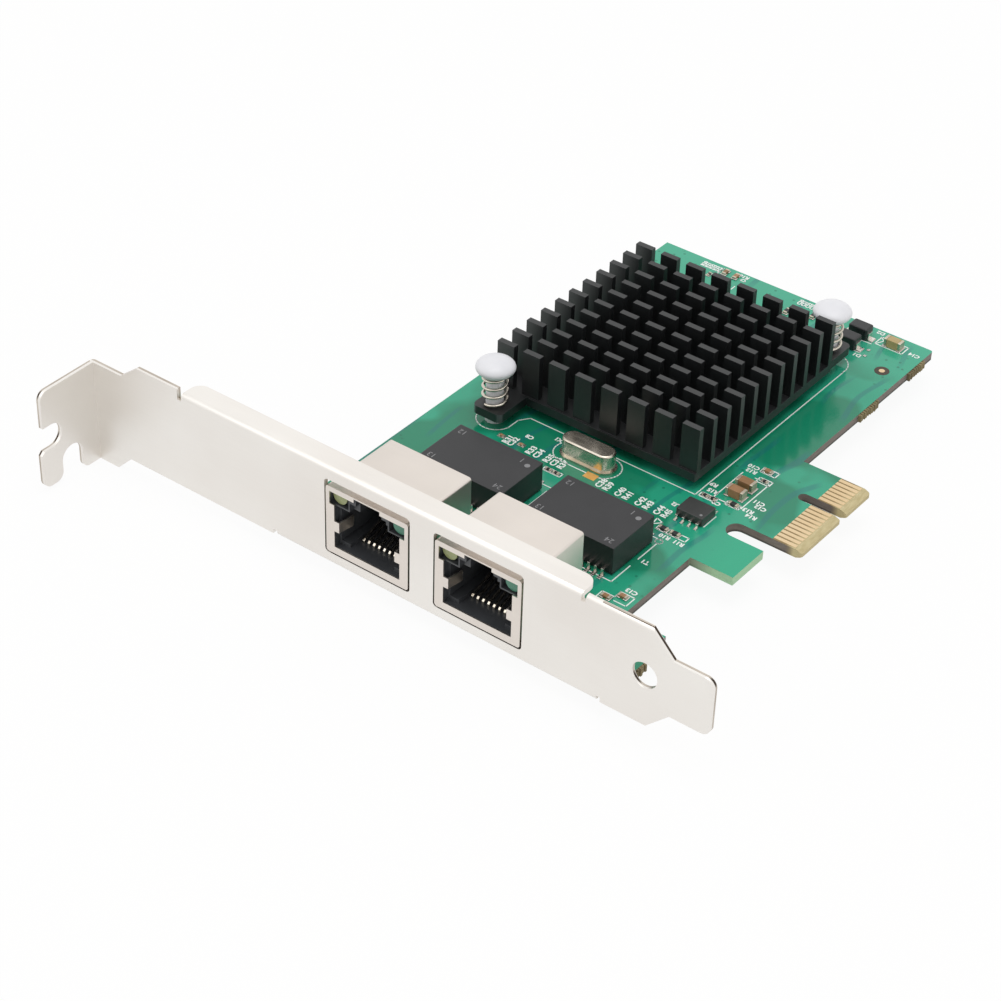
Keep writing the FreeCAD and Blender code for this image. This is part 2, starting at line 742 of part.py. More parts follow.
def jack_shield(word, middle):
    shield = new_body(f"{word}_jack_shield")
    half = jack_wide / 2
    sill = board_top + lamp_sill_high
    ledge = board_top + mouth_high
    inner_top = jack_top - shield_thick
    opening = [
        (-(mouth_wide / 2), board_top + mouth_low),
        (mouth_wide / 2, board_top + mouth_low),
        (mouth_wide / 2, ledge),
        (lamp_sill_wide / 2, ledge),
        (lamp_sill_wide / 2, sill),
        (latch_wide / 2, sill),
        (latch_wide / 2, inner_top),
        (-(latch_wide / 2), inner_top),
        (-(latch_wide / 2), sill),
        (-(lamp_sill_wide / 2), sill),
        (-(lamp_sill_wide / 2), ledge),
        (-(mouth_wide / 2), ledge),
    ]
    face = [(-half, jack_low, face_round), (half, jack_low, face_round), (half, jack_top), (-half, jack_top)]
    pad(shield, f"{word}_face", "XZ_Plane", -jack_proud, shield_thick, [face, opening])
    wrap = [
        (-half, board_top),
        (-half, jack_top),
        (half, jack_top),
        (half, board_top),
        (half - shield_thick, board_top),
        (half - shield_thick, inner_top),
        (shield_thick - half, inner_top),
        (shield_thick - half, board_top),
    ]
    pad(shield, f"{word}_wrap", "XZ_Plane", -jack_proud, jack_deep, [wrap])
    back = rectangle(-half, half, board_top, jack_top)
    pad(shield, f"{word}_back", "XZ_Plane", jack_deep - jack_proud - shield_thick, shield_thick, [back])
    inside = shield_thick - jack_proud
    for side, hand in ((-1, "left"), (1, "right")):
        edge = mouth_wide / 2 * side
        turn = edge - spring_flat * side
        tip = turn - spring_inward * side
        blade = [
            (edge, -jack_proud),
            (turn, -jack_proud),
            (tip, spring_reach),
            (tip + shield_thick * side, spring_reach),
            (turn + shield_thick * side, inside),
            (edge, inside),
        ]
        pad(shield, f"{word}_{hand}_blade", "XY_Plane", board_top + spring_low, spring_tall, [blade])
    soften(shield, "Fillet", runs_along("Y", half, jack_top), shield_fold)
    soften(shield, "Fillet", runs_along("Y", -half, jack_top), shield_fold)
    place(shield, middle, 0, 0)
    return keep(shield, f"{word}_jack_shield")


def jack_housing(word, middle):
    housing = new_body(f"{word}_jack_housing")
    half = jack_wide / 2 - shield_thick
    front = shield_thick - jack_proud
    top = jack_top - shield_thick
    depth = jack_deep - shield_thick * 2
    ledge = board_top + mouth_high
    lamps = [(lamp_apart * side, board_top + lamp_high, lamp_radius) for side in (-1, 1)]
    pad(housing, f"{word}_moulding", "XZ_Plane", front, depth, [rectangle(-half, half, board_top, top)])
    mouth = rectangle(-(mouth_wide / 2), mouth_wide / 2, board_top + mouth_low, ledge)
    pocket(housing, f"{word}_mouth", "XZ_Plane", front, mouth_deep, [mouth])
    cavity = [
        (-(cavity_wide / 2), board_top + cavity_floor),
        (-(channel_wide / 2), board_top + cavity_floor),
        (-(channel_wide / 2), board_top + channel_floor),
        (channel_wide / 2, board_top + channel_floor),
        (channel_wide / 2, board_top + cavity_floor),
        (cavity_wide / 2, board_top + cavity_floor),
        (cavity_wide / 2, board_top + cavity_high),
        (-(cavity_wide / 2), board_top + cavity_high),
    ]
    pocket(housing, f"{word}_cavity", "XZ_Plane", front, cavity_deep, [cavity])
    latch = rectangle(-(latch_wide / 2), latch_wide / 2, board_top + mouth_low, top - shield_thick)
    pocket(housing, f"{word}_latch_way", "XZ_Plane", front, latch_deep, [latch])
    recess_low = board_top + cavity_high
    recess_top = top - shield_thick
    recess_half = lamp_sill_wide / 2
    sill = rectangle(-recess_half, recess_half, recess_low, recess_top)
    pocket(housing, f"{word}_lamp_recess", "XZ_Plane", front, lamp_recess, [sill])
    inner = lamp_apart - lamp_cell
    web_low = board_top + lamp_web_low
    for side, hand in ((-1, "left"), (1, "right")):
        cell = [
            (inner * side, recess_low),
            (recess_half * side, recess_low),
            (recess_half * side, recess_low + lamp_wall),
            ((inner + lamp_wall) * side, recess_low + lamp_wall),
            ((inner + lamp_wall) * side, recess_top),
            (latch_wide / 2 * side, recess_top),
            (latch_wide / 2 * side, web_low),
            (inner * side, web_low),
        ]
        pad(housing, f"{word}_{hand}_lamp_cell", "XZ_Plane", front + lamp_wall, lamp_recess, [cell])
    pocket(housing, f"{word}_lamp_bores", "XZ_Plane", front, lamp_set_back + lamp_long - front, [], lamps)
    place(housing, middle, 0, 0)
    return keep(housing, f"{word}_jack_housing")


def jack_wires(word, middle):
    wires = new_body(f"{word}_jack_contacts")
    low = board_top + channel_floor
    bend = board_top + wire_bend
    bent = [
        (wire_front, low),
        (wire_front, bend),
        (wire_front + wire_thick, bend + wire_thick),
        (wire_front + wire_reach, bend + wire_rise),
        (wire_front + wire_reach, bend + wire_rise - wire_thick),
        (wire_front + wire_thick * 2, bend),
        (wire_front + wire_thick, bend - wire_thick),
        (wire_front + wire_thick, low),
    ]
    first = -(wire_pitch * (wires_in_jack - 1) / 2)
    wire = pad(wires, f"{word}_wire", "YZ_Plane", first - wire_wide / 2, wire_wide, [bent])
    row(wires, wire, "X_Axis", wire_pitch, wires_in_jack)
    place(wires, middle, 0, 0)
    return keep(wires, f"{word}_jack_contacts")


for word, middle in jack_spots.items():
    jack_shield(word, middle)
    jack_housing(word, middle)
    jack_wires(word, middle)
    for side, colour in ((-1, "yellow"), (1, "green")):
        lamp = new_body(f"{word}_{colour}_lamp")
        disc = (lamp_apart * side, board_top + lamp_high, lamp_radius)
        pad(lamp, f"{word}_{colour}_lens", "XZ_Plane", lamp_set_back, lamp_long, [], [disc])
        place(lamp, middle, 0, 0)
        keep(lamp, f"{word}_{colour}_lamp")
doc.recompute()


# The line transformers, moulded blocks with twelve bent leads a side

for word, middle in (("left", transformer_left_x), ("right", transformer_right_x)):
    block = new_body(f"{word}_transformer")
    low = board_top + transformer_gap
    tall = transformer_top - transformer_gap
    half = transformer_wide / 2
    base = rectangle(-half, half, -(transformer_deep / 2), transformer_deep / 2)
    pad(block, f"{word}_block", "XY_Plane", low, tall, [base])
    place(block, middle, transformer_y, 0)
    keep(block, f"{word}_transformer")
    leads = new_body(f"{word}_transformer_leads")
    gull_leads(leads, f"{word}_transformer", transformer_deep / 2, transformer_lead_out,
               transformer_lead_knee, transformer_lead_high, lead_pitch, transformer_leads_a_side)
    place(leads, middle, transformer_y, 0)
    keep(leads, f"{word}_transformer_leads")


# The controller under its heat sink: an extruded comb, cut across into blades

chip_middle = (sink_left + sink_wide / 2, sink_near + sink_deep / 2)
half_chip = chip_wide / 2
pad_top = board_top + chip_high + pad_high
layers = (("controller_chip", board_top, chip_high), ("thermal_pad", board_top + chip_high, pad_high))
for name, low, high in layers:
    corner = (chip_middle[0] - half_chip, chip_middle[1] - half_chip, low)
    keep(box(name, corner, (chip_wide, chip_wide, high)), name)

sink = new_body("heat_sink")
left_ear_middle = left_pin_x + left_ear_shift
sink_outline = [
    (sink_left, sink_near),
    (left_ear_middle - ear_reach, sink_near),
    (left_ear_middle - ear_reach, left_pin_y - ear_reach, ear_corner),
    (left_ear_middle + ear_reach, left_pin_y - ear_reach, ear_corner),
    (left_ear_middle + ear_reach, sink_near),
    (sink_right, sink_near),
    (sink_right, sink_far),
    (right_pin_x + ear_reach, sink_far),
    (right_pin_x + ear_reach, right_pin_y + ear_reach, ear_corner),
    (right_pin_x - ear_reach, right_pin_y + ear_reach, ear_corner),
    (right_pin_x - ear_reach, sink_far),
    (sink_left, sink_far),
]
pad(sink, "sink_plate", "XY_Plane", pad_top, sink_base, [sink_outline], pin_holes)
fin_foot = pad_top + sink_base
fin_near = sink_near + fin_inset
wall = rectangle(sink_left, sink_right, fin_near, fin_near + fin_thick)
fin = pad(sink, "fin", "XY_Plane", fin_foot, sink_top - fin_foot, [wall])
row(sink, fin, "Y_Axis", (sink_deep - fin_inset - fin_thick) / (fin_rows - 1), fin_rows)
blade_pitch = (sink_wide - blade_long) / (blade_columns - 1)
cross = rectangle(sink_left + blade_long, sink_left + blade_pitch, sink_near, sink_far)
cut = pocket(sink, "cross_cut", "XY_Plane", fin_foot, sink_top - fin_foot, [cross])
row(sink, cut, "X_Axis", blade_pitch, blade_columns - 1)
keep(sink, "heat_sink")

coil_low = fin_foot + coil_wire
head_middle = board_top + pin_head_middle
coil_high = head_middle - pin_head_half
for word, spot in pin_spots.items():
    pin = turned(f"{word}_push_pin", [
        (0, board_low - barb_tall),
        (barb_tip, board_low - barb_tall),
        (barb_radius, board_low),
        (pin_shaft, board_low),
        (pin_shaft, board_top),
        (pin_collar, board_top),
        (pin_collar, pad_top),
        (pin_shaft, pad_top),
        (pin_shaft, head_middle),
        (0, head_middle),
    ])
    head = pin.newObject("PartDesign::AdditiveEllipsoid", f"{word}_pin_head")
    bind(head, "Radius1", pin_head_half)
    bind(head, "Radius2", pin_head)
    bind(head, "Radius3", pin_head)
    bind(head, "Placement.Base.z", head_middle)
    pin.Tip = head
    place(pin, *spot, 0)
    keep(pin, f"{word}_push_pin")

    coil = doc.addObject("Part::Helix", f"{word}_coil")
    bind(coil, "Height", coil_high - coil_low)
    bind(coil, "Pitch", (coil_high - coil_low) / coil_turns)
    bind(coil, "Radius", coil_radius)
    # The coil is swept in runs of an eighth of a turn, which keeps each swept face short and even.
    coil.SegmentLength = coil_run
    section = doc.addObject("Part::Circle", f"{word}_wire_section")
    section.Placement = FreeCAD.Placement(FreeCAD.Vector(), FreeCAD.Rotation(FreeCAD.Vector(1, 0, 0), -90))
    bind(section, "Placement.Base.x", coil_radius)
    bind(section, "Radius", coil_wire)
    spring = doc.addObject("Part::Sweep", f"{word}_pin_spring")
    spring.Sections = [section]
    spring.Spine = (coil, [])
    spring.Solid = True
    spring.Frenet = True
    place(spring, *spot, coil_low)
    spring.Placement.Rotation = FreeCAD.Rotation(FreeCAD.Vector(0, 0, 1), coil_start)
    keep(spring, f"{word}_pin_spring")
doc.recompute()


# The crystal in its low metal can, and the memory chip

for name, low, high, inset in (
    ("crystal_base", board_top, crystal_base_high, 0),
    ("crystal_can", board_top + crystal_base_high, crystal_high - crystal_base_high, crystal_rim),
):
    can = new_body(name)
    reach = crystal_long / 2 - inset
    half = crystal_wide / 2 - inset
    oval = rectangle(-reach, reach, -half, half, full_round(half * 2))
    pad(can, f"{name}_oval", "XY_Plane", low, high, [oval])
    place(can, crystal_x, crystal_y, 0)
    keep(can, name)


def top_rim(height):
    """Chooses every edge at one height."""

    def chosen(edge):
        return edge.BoundBox.ZMin > as_size(height).number - 1e-4

    return chosen


soften(nodes["crystal_can"], "Fillet", top_rim(board_top + crystal_high), crystal_rim)

memory = new_body("memory_chip")
outline = rectangle(-(memory_long / 2), memory_long / 2, -(memory_wide / 2), memory_wide / 2)
pad(memory, "memory_block", "XY_Plane", board_top + memory_gap, memory_top - memory_gap, [outline])
place(memory, memory_x, memory_y, 0)
keep(memory, "memory_chip")
memory_leads = new_body("memory_chip_leads")
gull_leads(memory_leads, "memory", memory_wide / 2, memory_lead_out, memory_lead_knee,
           memory_lead_high, lead_pitch, memory_leads_a_side)
place(memory_leads, memory_x, memory_y, 0)
keep(memory_leads, "memory_chip_leads")


# Power diodes by the far edge


def ended_chip(name, spot, lengths, end, along):
    """A chip between two metal ends: its middle, then the ends, standing on the board."""
    long, wide, high = lengths
    blocks = []
    for word, start, length in (("body", end - long / 2, long - end * 2), ("end_a", -(long / 2), end),
                                ("end_b", long / 2 - end, end)):
        if along == "X":
            corner, spans = (spot[0] + start, spot[1] - wide / 2, board_top), (length, wide, high)
        else:
            corner, spans = (spot[0] - wide / 2, spot[1] + start, board_top), (wide, length, high)
        blocks.append(box(f"{name}_{word}", corner, spans))
    return blocks


diodes = []
diode_ends = []
for index in range(2):
    middle_y = diode_y + diode_apart * index
    half = diode_long / 2
    diodes.append(box(f"diode_{index}", (diode_x - half, middle_y - diode_wide / 2, board_top + diode_gap),
                      (diode_long, diode_wide, diode_top - diode_gap)))
    for side, hand in ((-1, "left"), (1, "right")):
        lead = new_body(f"diode_{index}_{hand}_lead")
        at_body = diode_x + half * side
        bent = [
            (at_body, board_top),
            (at_body + diode_tab * side, board_top),
            (at_body + diode_tab * side, board_top + diode_sheet),
            (at_body + diode_sheet * side, board_top + diode_sheet),
            (at_body + diode_sheet * side, board_top + diode_exit),
            (at_body, board_top + diode_exit),
        ]
        pad(lead, f"diode_{index}_{hand}_bend", "XZ_Plane", middle_y - diode_lead / 2, diode_lead, [bent])
        diode_ends.append(lead)
group("power_diodes", diodes)
group("power_diode_leads", diode_ends)

ceramic = (capacitor_long, capacitor_wide, capacitor_high)
bodies = []
ends = []
for index in range(2):
    spot = (capacitor_x, capacitor_near_y + capacitor_apart * index)
    chip_blocks = ended_chip(f"capacitor_{index}", spot, ceramic, capacitor_end, "X")
    bodies += chip_blocks[:1]
    ends += chip_blocks[1:]
group("ceramic_capacitors", bodies)
chip_blocks = ended_chip("far_capacitor", (far_capacitor_x, far_capacitor_y), ceramic, capacitor_end, "X")
group("pale_capacitor", chip_blocks[:1])
group("capacitor_ends", ends + chip_blocks[1:])


# The smallest chips: brown ceramic capacitors and black film resistors

small = (small_long, small_wide, small_high)
tiny = (tiny_long, tiny_wide, tiny_high)
brown = [
    ("left_a", (left_pair_x, left_pair_y), tiny, tiny_end, "X"),
    ("left_b", (left_pair_x + left_pair_apart, left_pair_y), tiny, tiny_end, "X"),
    ("foot_a", (foot_pair_x, foot_pair_y), small, small_end, "X"),
    ("foot_b", (foot_pair_x + foot_pair_apart, foot_pair_y + small_long), small, small_end, "X"),
    ("comb", (comb_chip_x, comb_chip_y), small, small_end, "X"),
    ("far_a", (far_pair_x, far_pair_y), small, small_end, "Y"),
    ("far_b", (far_pair_x + far_pair_apart, far_pair_y), small, small_end, "Y"),
]
black = [
    ("middle_a", (middle_pair_x, middle_pair_y), tiny, tiny_end, "X"),
    ("middle_b", (middle_pair_x + middle_pair_apart, middle_pair_y), tiny, tiny_end, "X"),
    ("corner_a", (corner_pair_x, corner_pair_y), tiny, tiny_end, "X"),
    ("corner_b", (corner_pair_x + corner_pair_apart, corner_pair_y), tiny, tiny_end, "X"),
    ("memory_a", (memory_pair_x, memory_pair_y), small, small_end, "X"),
    ("memory_b", (memory_pair_x + memory_pair_apart, memory_pair_y), small, small_end, "X"),
    ("edge", (edge_chip_x, edge_chip_y), tiny, tiny_end, "X"),
    ("box", (box_chip_x, box_chip_y), small, small_end, "X"),
    ("gap", (gap_chip_x, gap_chip_y), tiny, tiny_end, "Y"),
    ("ridge", (ridge_chip_x, ridge_chip_y), small, small_end, "Y"),
    ("head", (head_chip_x, head_chip_y), small, small_end, "Y"),
]
small_ends = []
for name, chips in (("small_capacitors", brown), ("small_resistors", black)):
    bodies = []
    for word, spot, lengths, end, along in chips:
        chip_blocks = ended_chip(f"{word}_chip", spot, lengths, end, along)
        bodies += chip_blocks[:1]
        small_ends += chip_blocks[1:]
    group(name, bodies)
group("small_chip_ends", small_ends)


# Every object must be sound before any piece is written

doc.recompute()
for thing in doc.Objects:
    if "Invalid" in thing.State or "Error" in thing.State:
        raise ValueError(f"{thing.Name} is {thing.State}")
os.makedirs("parts", exist_ok=True)
for name, thing in nodes.items():
    if thing.Shape.isNull() or not thing.Shape.isValid():
        raise ValueError(f"{name} has no sound shape")
    thing.Shape.exportStep(f"parts/{name}.step")
    print(name, len(thing.Shape.Solids), round(thing.Shape.Volume, 2))
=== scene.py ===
# %% [markdown]
# # A network interface card
# An expansion card seen from above its right front corner: a folded steel
# bracket with two jacks, a green circuit board standing behind it, two black
# transformers, a crystal and a black pin-fin heat sink on sprung push pins.
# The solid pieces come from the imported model. This script gives each of them
# its finish and adds what is too fine for solids: printed ink, solder, pads
# and the snapped edges of the board.

# %% Load the frame
import math
import random

import bpy
from mathutils import Matrix, Vector


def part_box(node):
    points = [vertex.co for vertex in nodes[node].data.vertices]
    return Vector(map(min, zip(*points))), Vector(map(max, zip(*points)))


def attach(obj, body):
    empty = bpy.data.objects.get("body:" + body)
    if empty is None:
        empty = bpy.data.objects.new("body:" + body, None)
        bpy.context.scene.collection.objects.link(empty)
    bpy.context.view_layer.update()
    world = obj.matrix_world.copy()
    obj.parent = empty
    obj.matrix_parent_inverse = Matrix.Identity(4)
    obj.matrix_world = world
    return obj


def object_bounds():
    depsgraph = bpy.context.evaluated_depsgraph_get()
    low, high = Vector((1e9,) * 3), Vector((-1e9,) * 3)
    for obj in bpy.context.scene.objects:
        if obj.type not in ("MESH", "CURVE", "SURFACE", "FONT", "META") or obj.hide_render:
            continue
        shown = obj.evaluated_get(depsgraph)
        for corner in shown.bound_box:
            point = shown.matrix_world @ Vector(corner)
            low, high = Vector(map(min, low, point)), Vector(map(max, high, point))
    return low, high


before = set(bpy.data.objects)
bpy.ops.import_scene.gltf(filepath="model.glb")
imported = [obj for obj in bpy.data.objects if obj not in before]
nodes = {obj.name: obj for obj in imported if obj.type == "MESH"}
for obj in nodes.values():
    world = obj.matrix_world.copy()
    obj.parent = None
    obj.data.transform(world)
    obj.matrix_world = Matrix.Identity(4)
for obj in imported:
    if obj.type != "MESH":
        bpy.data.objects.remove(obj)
cad_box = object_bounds()
MM = 0.001
print("pieces in the frame:", len(nodes))

# %% [markdown]
# ## Camera
# The view is a long lens from above the right front corner. Its place, turn
# and focal length were solved from the bracket's standard sizes and the pitch
# of the edge contacts. A camera looks along its own -Z, so the three axes are
# worked out from the direction of view and the roll, and set as a matrix.

# %% Place the camera
CAMERA_SPOT = Vector((258.983, -239.339, 251.748)) * MM
AZIMUTH = math.radians(36.44)
ELEVATION = math.radians(-37.02)
ROLL = math.radians(1.876)
FOCAL_PIXELS = 2630.37
FRAME_PIXELS = 1001
SENSOR_MM = 36

level = math.cos(ELEVATION)
ahead = Vector((-math.sin(AZIMUTH) * level, math.cos(AZIMUTH) * level, math.sin(ELEVATION)))
level_right = ahead.cross(Vector((0, 0, 1))).normalized()
level_up = level_right.cross(ahead)
across = level_right * math.cos(ROLL) + level_up * math.sin(ROLL)
upward = level_up * math.cos(ROLL) - level_right * math.sin(ROLL)

camera_data = bpy.data.cameras.new("studio_camera")
camera_data.sensor_width = SENSOR_MM
camera_data.lens = FOCAL_PIXELS * SENSOR_MM / FRAME_PIXELS
camera_data.clip_start = 0.01
camera = bpy.data.objects.new("studio_camera", camera_data)
bpy.context.scene.collection.objects.link(camera)
turned = Matrix((across, upward, -ahead)).transposed().to_4x4()
camera.matrix_world = Matrix.Translation(CAMERA_SPOT) @ turned
bpy.context.scene.camera = camera
bpy.context.scene.view_settings.view_transform = "Standard"
print("lens in millimetres:", round(camera_data.lens, 2))

# %% [markdown]
# ## Light, floor and background
# The card is lit like a catalogue picture: an even white room, a large weak
# lamp in front, to the left and above, and a stronger one overhead. Metal,
# varnish and black plastic take much of their look from what they mirror, so
# the room is white for mirrored rays too. Seen from the camera, the rounded
# front edges mirror the front lamp, so they catch a thin line of light, while
# the level and the upright faces mirror only the plain room.

# %% Colour and node helpers
def linear(hex_colour):
    """An sRGB colour written as hex, as the linear values that the shaders use."""
    channels = [int(hex_colour[i:i + 2], 16) / 255 for i in (1, 3, 5)]
    return [c / 12.92 if c <= 0.04045 else ((c + 0.055) / 1.055) ** 2.4 for c in channels] + [1.0]


def fill(tree, target, inputs):
    """Fills a node's inputs, in order or by name, with values, sockets or whole nodes."""
    for key, value in (inputs.items() if isinstance(inputs, dict) else enumerate(inputs)):
        if isinstance(value, bpy.types.Node):
            value = next(socket for socket in value.outputs if socket.enabled)
        if isinstance(value, bpy.types.NodeSocket):
            tree.links.new(value, target.inputs[key])
        else:
            target.inputs[key].default_value = value


def node(tree, kind, inputs=(), **settings):
    """Adds one shader node, sets its properties, then fills its inputs."""
    added = tree.nodes.new("ShaderNode" + kind)
    for name, value in settings.items():
        setattr(added, name, value)
    fill(tree, added, inputs)
    return added


WHITE = linear("#FFFFFF")
print("white in linear values:", WHITE)

# %% White surroundings
ROOM_STRENGTH = 0.66
FLOOR_GLOW = 0.93
FLOOR_GAP_MM = 0.02
FLOOR_SIDE = 6
CARD_MIDDLE = Vector((0.06, 0.05, 0))


def seen_directly(tree):
    """1 for rays from the camera, and for those that a mirror or glass sends on."""
    path = node(tree, "LightPath").outputs
    sent_on = node(tree, "Math", (path["Is Glossy Ray"], path["Is Transmission Ray"]), operation="MAXIMUM")
    return node(tree, "Math", (path["Is Camera Ray"], sent_on), operation="MAXIMUM")


world = bpy.data.worlds.new("white_room")
bpy.context.scene.world = world
world.use_nodes = True
room = world.node_tree
room.nodes.clear()
soft = node(room, "Background", {"Color": WHITE, "Strength": ROOM_STRENGTH})
plain = node(room, "Background", {"Color": WHITE, "Strength": 1.0})
node(room, "OutputWorld", {"Surface": node(room, "MixShader", (seen_directly(room), soft, plain))})

floor_level = cad_box[0][2] - FLOOR_GAP_MM * MM
bpy.ops.mesh.primitive_plane_add(size=FLOOR_SIDE, location=(CARD_MIDDLE.x, CARD_MIDDLE.y, floor_level))
floor = bpy.context.object
floor.name = "studio_floor"
paper = bpy.data.materials.new("white_paper_sweep")
paper.use_nodes = True
sheet = paper.node_tree
sheet.nodes.clear()
lit = node(sheet, "BsdfDiffuse", {"Color": linear("#F4F3F1")})
glow = node(sheet, "Emission", {"Color": WHITE, "Strength": 1.0})
share = node(sheet, "Math", (seen_directly(sheet), FLOOR_GLOW), operation="MULTIPLY")
node(sheet, "OutputMaterial", {"Surface": node(sheet, "MixShader", (share, lit, glow))})
floor.data.materials.append(paper)
print("floor level in millimetres:", round(floor_level / MM, 2))


# %% Lamps
def soft_lamp(name, spot, size, watts):
    """A round softbox turned to the middle of the card."""
    lamp = bpy.data.lights.new(name, "AREA")
    lamp.shape = "DISK"
    lamp.size = size
    lamp.energy = watts
    holder = bpy.data.objects.new(name, lamp)
    holder.location = spot
    aim = CARD_MIDDLE - Vector(spot)
    holder.rotation_euler = aim.to_track_quat("-Z", "Y").to_euler()
    bpy.context.scene.collection.objects.link(holder)
    print(name, "stands at", round(aim.length, 2), "m")


soft_lamp("front_left_softbox", (-0.4, -0.55, 0.66), 0.9, 1.0)
soft_lamp("overhead_softbox", (0.12, 0.0, 0.9), 0.6, 2.9)

# %% [markdown]
# ## Metals
# The bracket and the jack shields are thin plated steel with a satin surface:
# a metal with fairly low roughness that wanders a little, and very fine
# rolling marks along the sheet. Drawing the grain as a noise stretched along
# one axis gives the marks without a picture. Real rolling marks are a few
# hundredths of a millimetre apart, too fine to show, so they are drawn wider.

# %% Shared parts of a finish
NOISE_LOW, NOISE_HIGH = 0.3, 0.7
AMOUNT, BELOW, ABOVE = 0, 6, 7


def finish(name, **constants):
    """A new material with its constants set on the shader's own sockets."""
    made = bpy.data.materials.new(name)
    made.use_nodes = True
    tree = made.node_tree
    shader = tree.nodes["Principled BSDF"]
    fill(tree, shader, {socket.replace("_", " "): value for socket, value in constants.items()})
    return made, tree, shader


def patches(tree, patch_mm, stretch=(1, 1, 1), detail=3.0, shift=0.0):
    """A noise of about one patch size, on the piece's own coordinates."""
    where = node(tree, "TexCoord").outputs["Object"]
    mapped = node(tree, "Mapping", {"Vector": where, "Location": (shift, shift, shift), "Scale": stretch})
    return node(tree, "TexNoise", {"Vector": mapped, "Scale": 1 / (patch_mm * MM), "Detail": detail})


def layered(tree, base, *layers):
    """Lays colours over a base, one after another, each by its own amount."""
    for amount, colour in layers:
        base = node(tree, "Mix", {AMOUNT: amount, BELOW: base, ABOVE: colour}, data_type="RGBA")
    return base


def mottled(tree, noise, first, second):
    """Two hex colours in soft patches, where a noise passes from its low to its high level."""
    share = node(tree, "MapRange", (noise, NOISE_LOW, NOISE_HIGH, 0.0, 1.0))
    return layered(tree, linear(first), (share, linear(second)))


print("a noise mostly stays between", NOISE_LOW, "and", NOISE_HIGH)

# %% Sheet metals
STREAK_MM = 0.35
ALONG_SHEET = (0.05, 1, 1)


def sheet_metal(name, first, second, roughness, grain=(1, 1, 1), cloud_mm=14.0, relief_mm=0.003):
    """Rolled or drawn metal: cloudy tone, faint streaks along the rolling direction."""
    made, tree, shader = finish(name, Metallic=1.0)
    streaks = patches(tree, STREAK_MM, grain, 2.0)
    satin = node(tree, "MapRange", (streaks, NOISE_LOW, NOISE_HIGH, roughness - 0.04, roughness + 0.05))
    fill(tree, shader, {
        "Base Color": mottled(tree, patches(tree, cloud_mm), first, second),
        "Roughness": satin,
        "Normal": node(tree, "Bump", {"Height": streaks, "Distance": relief_mm * MM, "Strength": 0.2}),
    })
    return made


# Nickel gives the bracket an even, pale satin. Tin on the shields is a little warmer and darker.
bracket_steel = sheet_metal("nickel_plated_steel_satin", "#F1EEE9", "#E9E4DE", 0.4, ALONG_SHEET, 30.0)
shield_steel = sheet_metal("tin_plated_steel_sheet", "#E3DBD3", "#DBD3CB", 0.36, ALONG_SHEET,
                           relief_mm=0.0008)

# Turned and drawn parts mirror the room more clearly, so their sides differ in tone.
screw_steel = sheet_metal("nickel_plated_screw_steel", "#D2CFCB", "#BFBBB6", 0.28)
can_steel = sheet_metal("drawn_nickel_can", "#E0D8CA", "#C2B8A9", 0.25, ALONG_SHEET, 3.0, 0.001)

# Tinned leads glint, and the chips' baked ends are rougher and look chalky.
lead_tin = sheet_metal("tin_plated_lead_frame", "#EDE9E2", "#D6D0C8", 0.22, relief_mm=0.001)
cap_tin = sheet_metal("tin_plated_chip_end", "#DCD0BE", "#BFB3A2", 0.4, cloud_mm=1.0)

# Drawn wire is nearly a mirror, so it shows as bright and dark lines.
spring_wire = sheet_metal("bright_spring_wire", "#DCD5CA", "#C4BBAE", 0.16)
wire_gold = sheet_metal("gold_plated_contact_wire", "#F0E8DA", "#D8CDB8", 0.12)

# Hard gold on the contacts is pale and satin, and the thin gold of a pad is yellower.
contact_gold = sheet_metal("hard_gold_plate", "#EAD2AC", "#DFC398", 0.34, (0.1, 1, 1))
bare_gold = sheet_metal("immersion_gold_pad", "#EBC07A", "#DCAA60", 0.4, cloud_mm=1.5)

# Solder has flowed and set, which leaves it smooth and cloudy.
solder = sheet_metal("reflowed_solder", "#D6D3CE", "#AFADA9", 0.24, cloud_mm=1.6, relief_mm=0.001)
print("nodes in one sheet metal:", len(bracket_steel.node_tree.nodes))

# %% [markdown]
# ## Punched edges
# The bracket is blanked with a punch, which burnishes the front half of each
# cut edge and tears the rest. The torn band is dull and a little darker, and
# draws the thickness of the sheet. It is placed by its depth in the sheet and
# left out where the sheet is folded. The slanted and rounded cuts get painted
# shade and are darkest: there the normal points between two axes.

# %% Torn band on the bracket's cut edges
TORN_FROM, TORN_TO = 0.4 * MM, 0.8 * MM
TAB_TORN_FROM, TAB_TORN_TO = 0.03 * MM, 0.35 * MM
FOLD_LEFT, FOLD_RIGHT = 20.0 * MM, 100.4 * MM
FOLD_LOW, FOLD_HIGH = 1.0 * MM, 15.0 * MM


def inside(tree, value, low, high):
    """1 where a value lies between two limits."""
    above = node(tree, "Math", (value, low), operation="GREATER_THAN")
    below = node(tree, "Math", (value, high), operation="LESS_THAN")
    return node(tree, "Math", (above, below), operation="MULTIPLY")


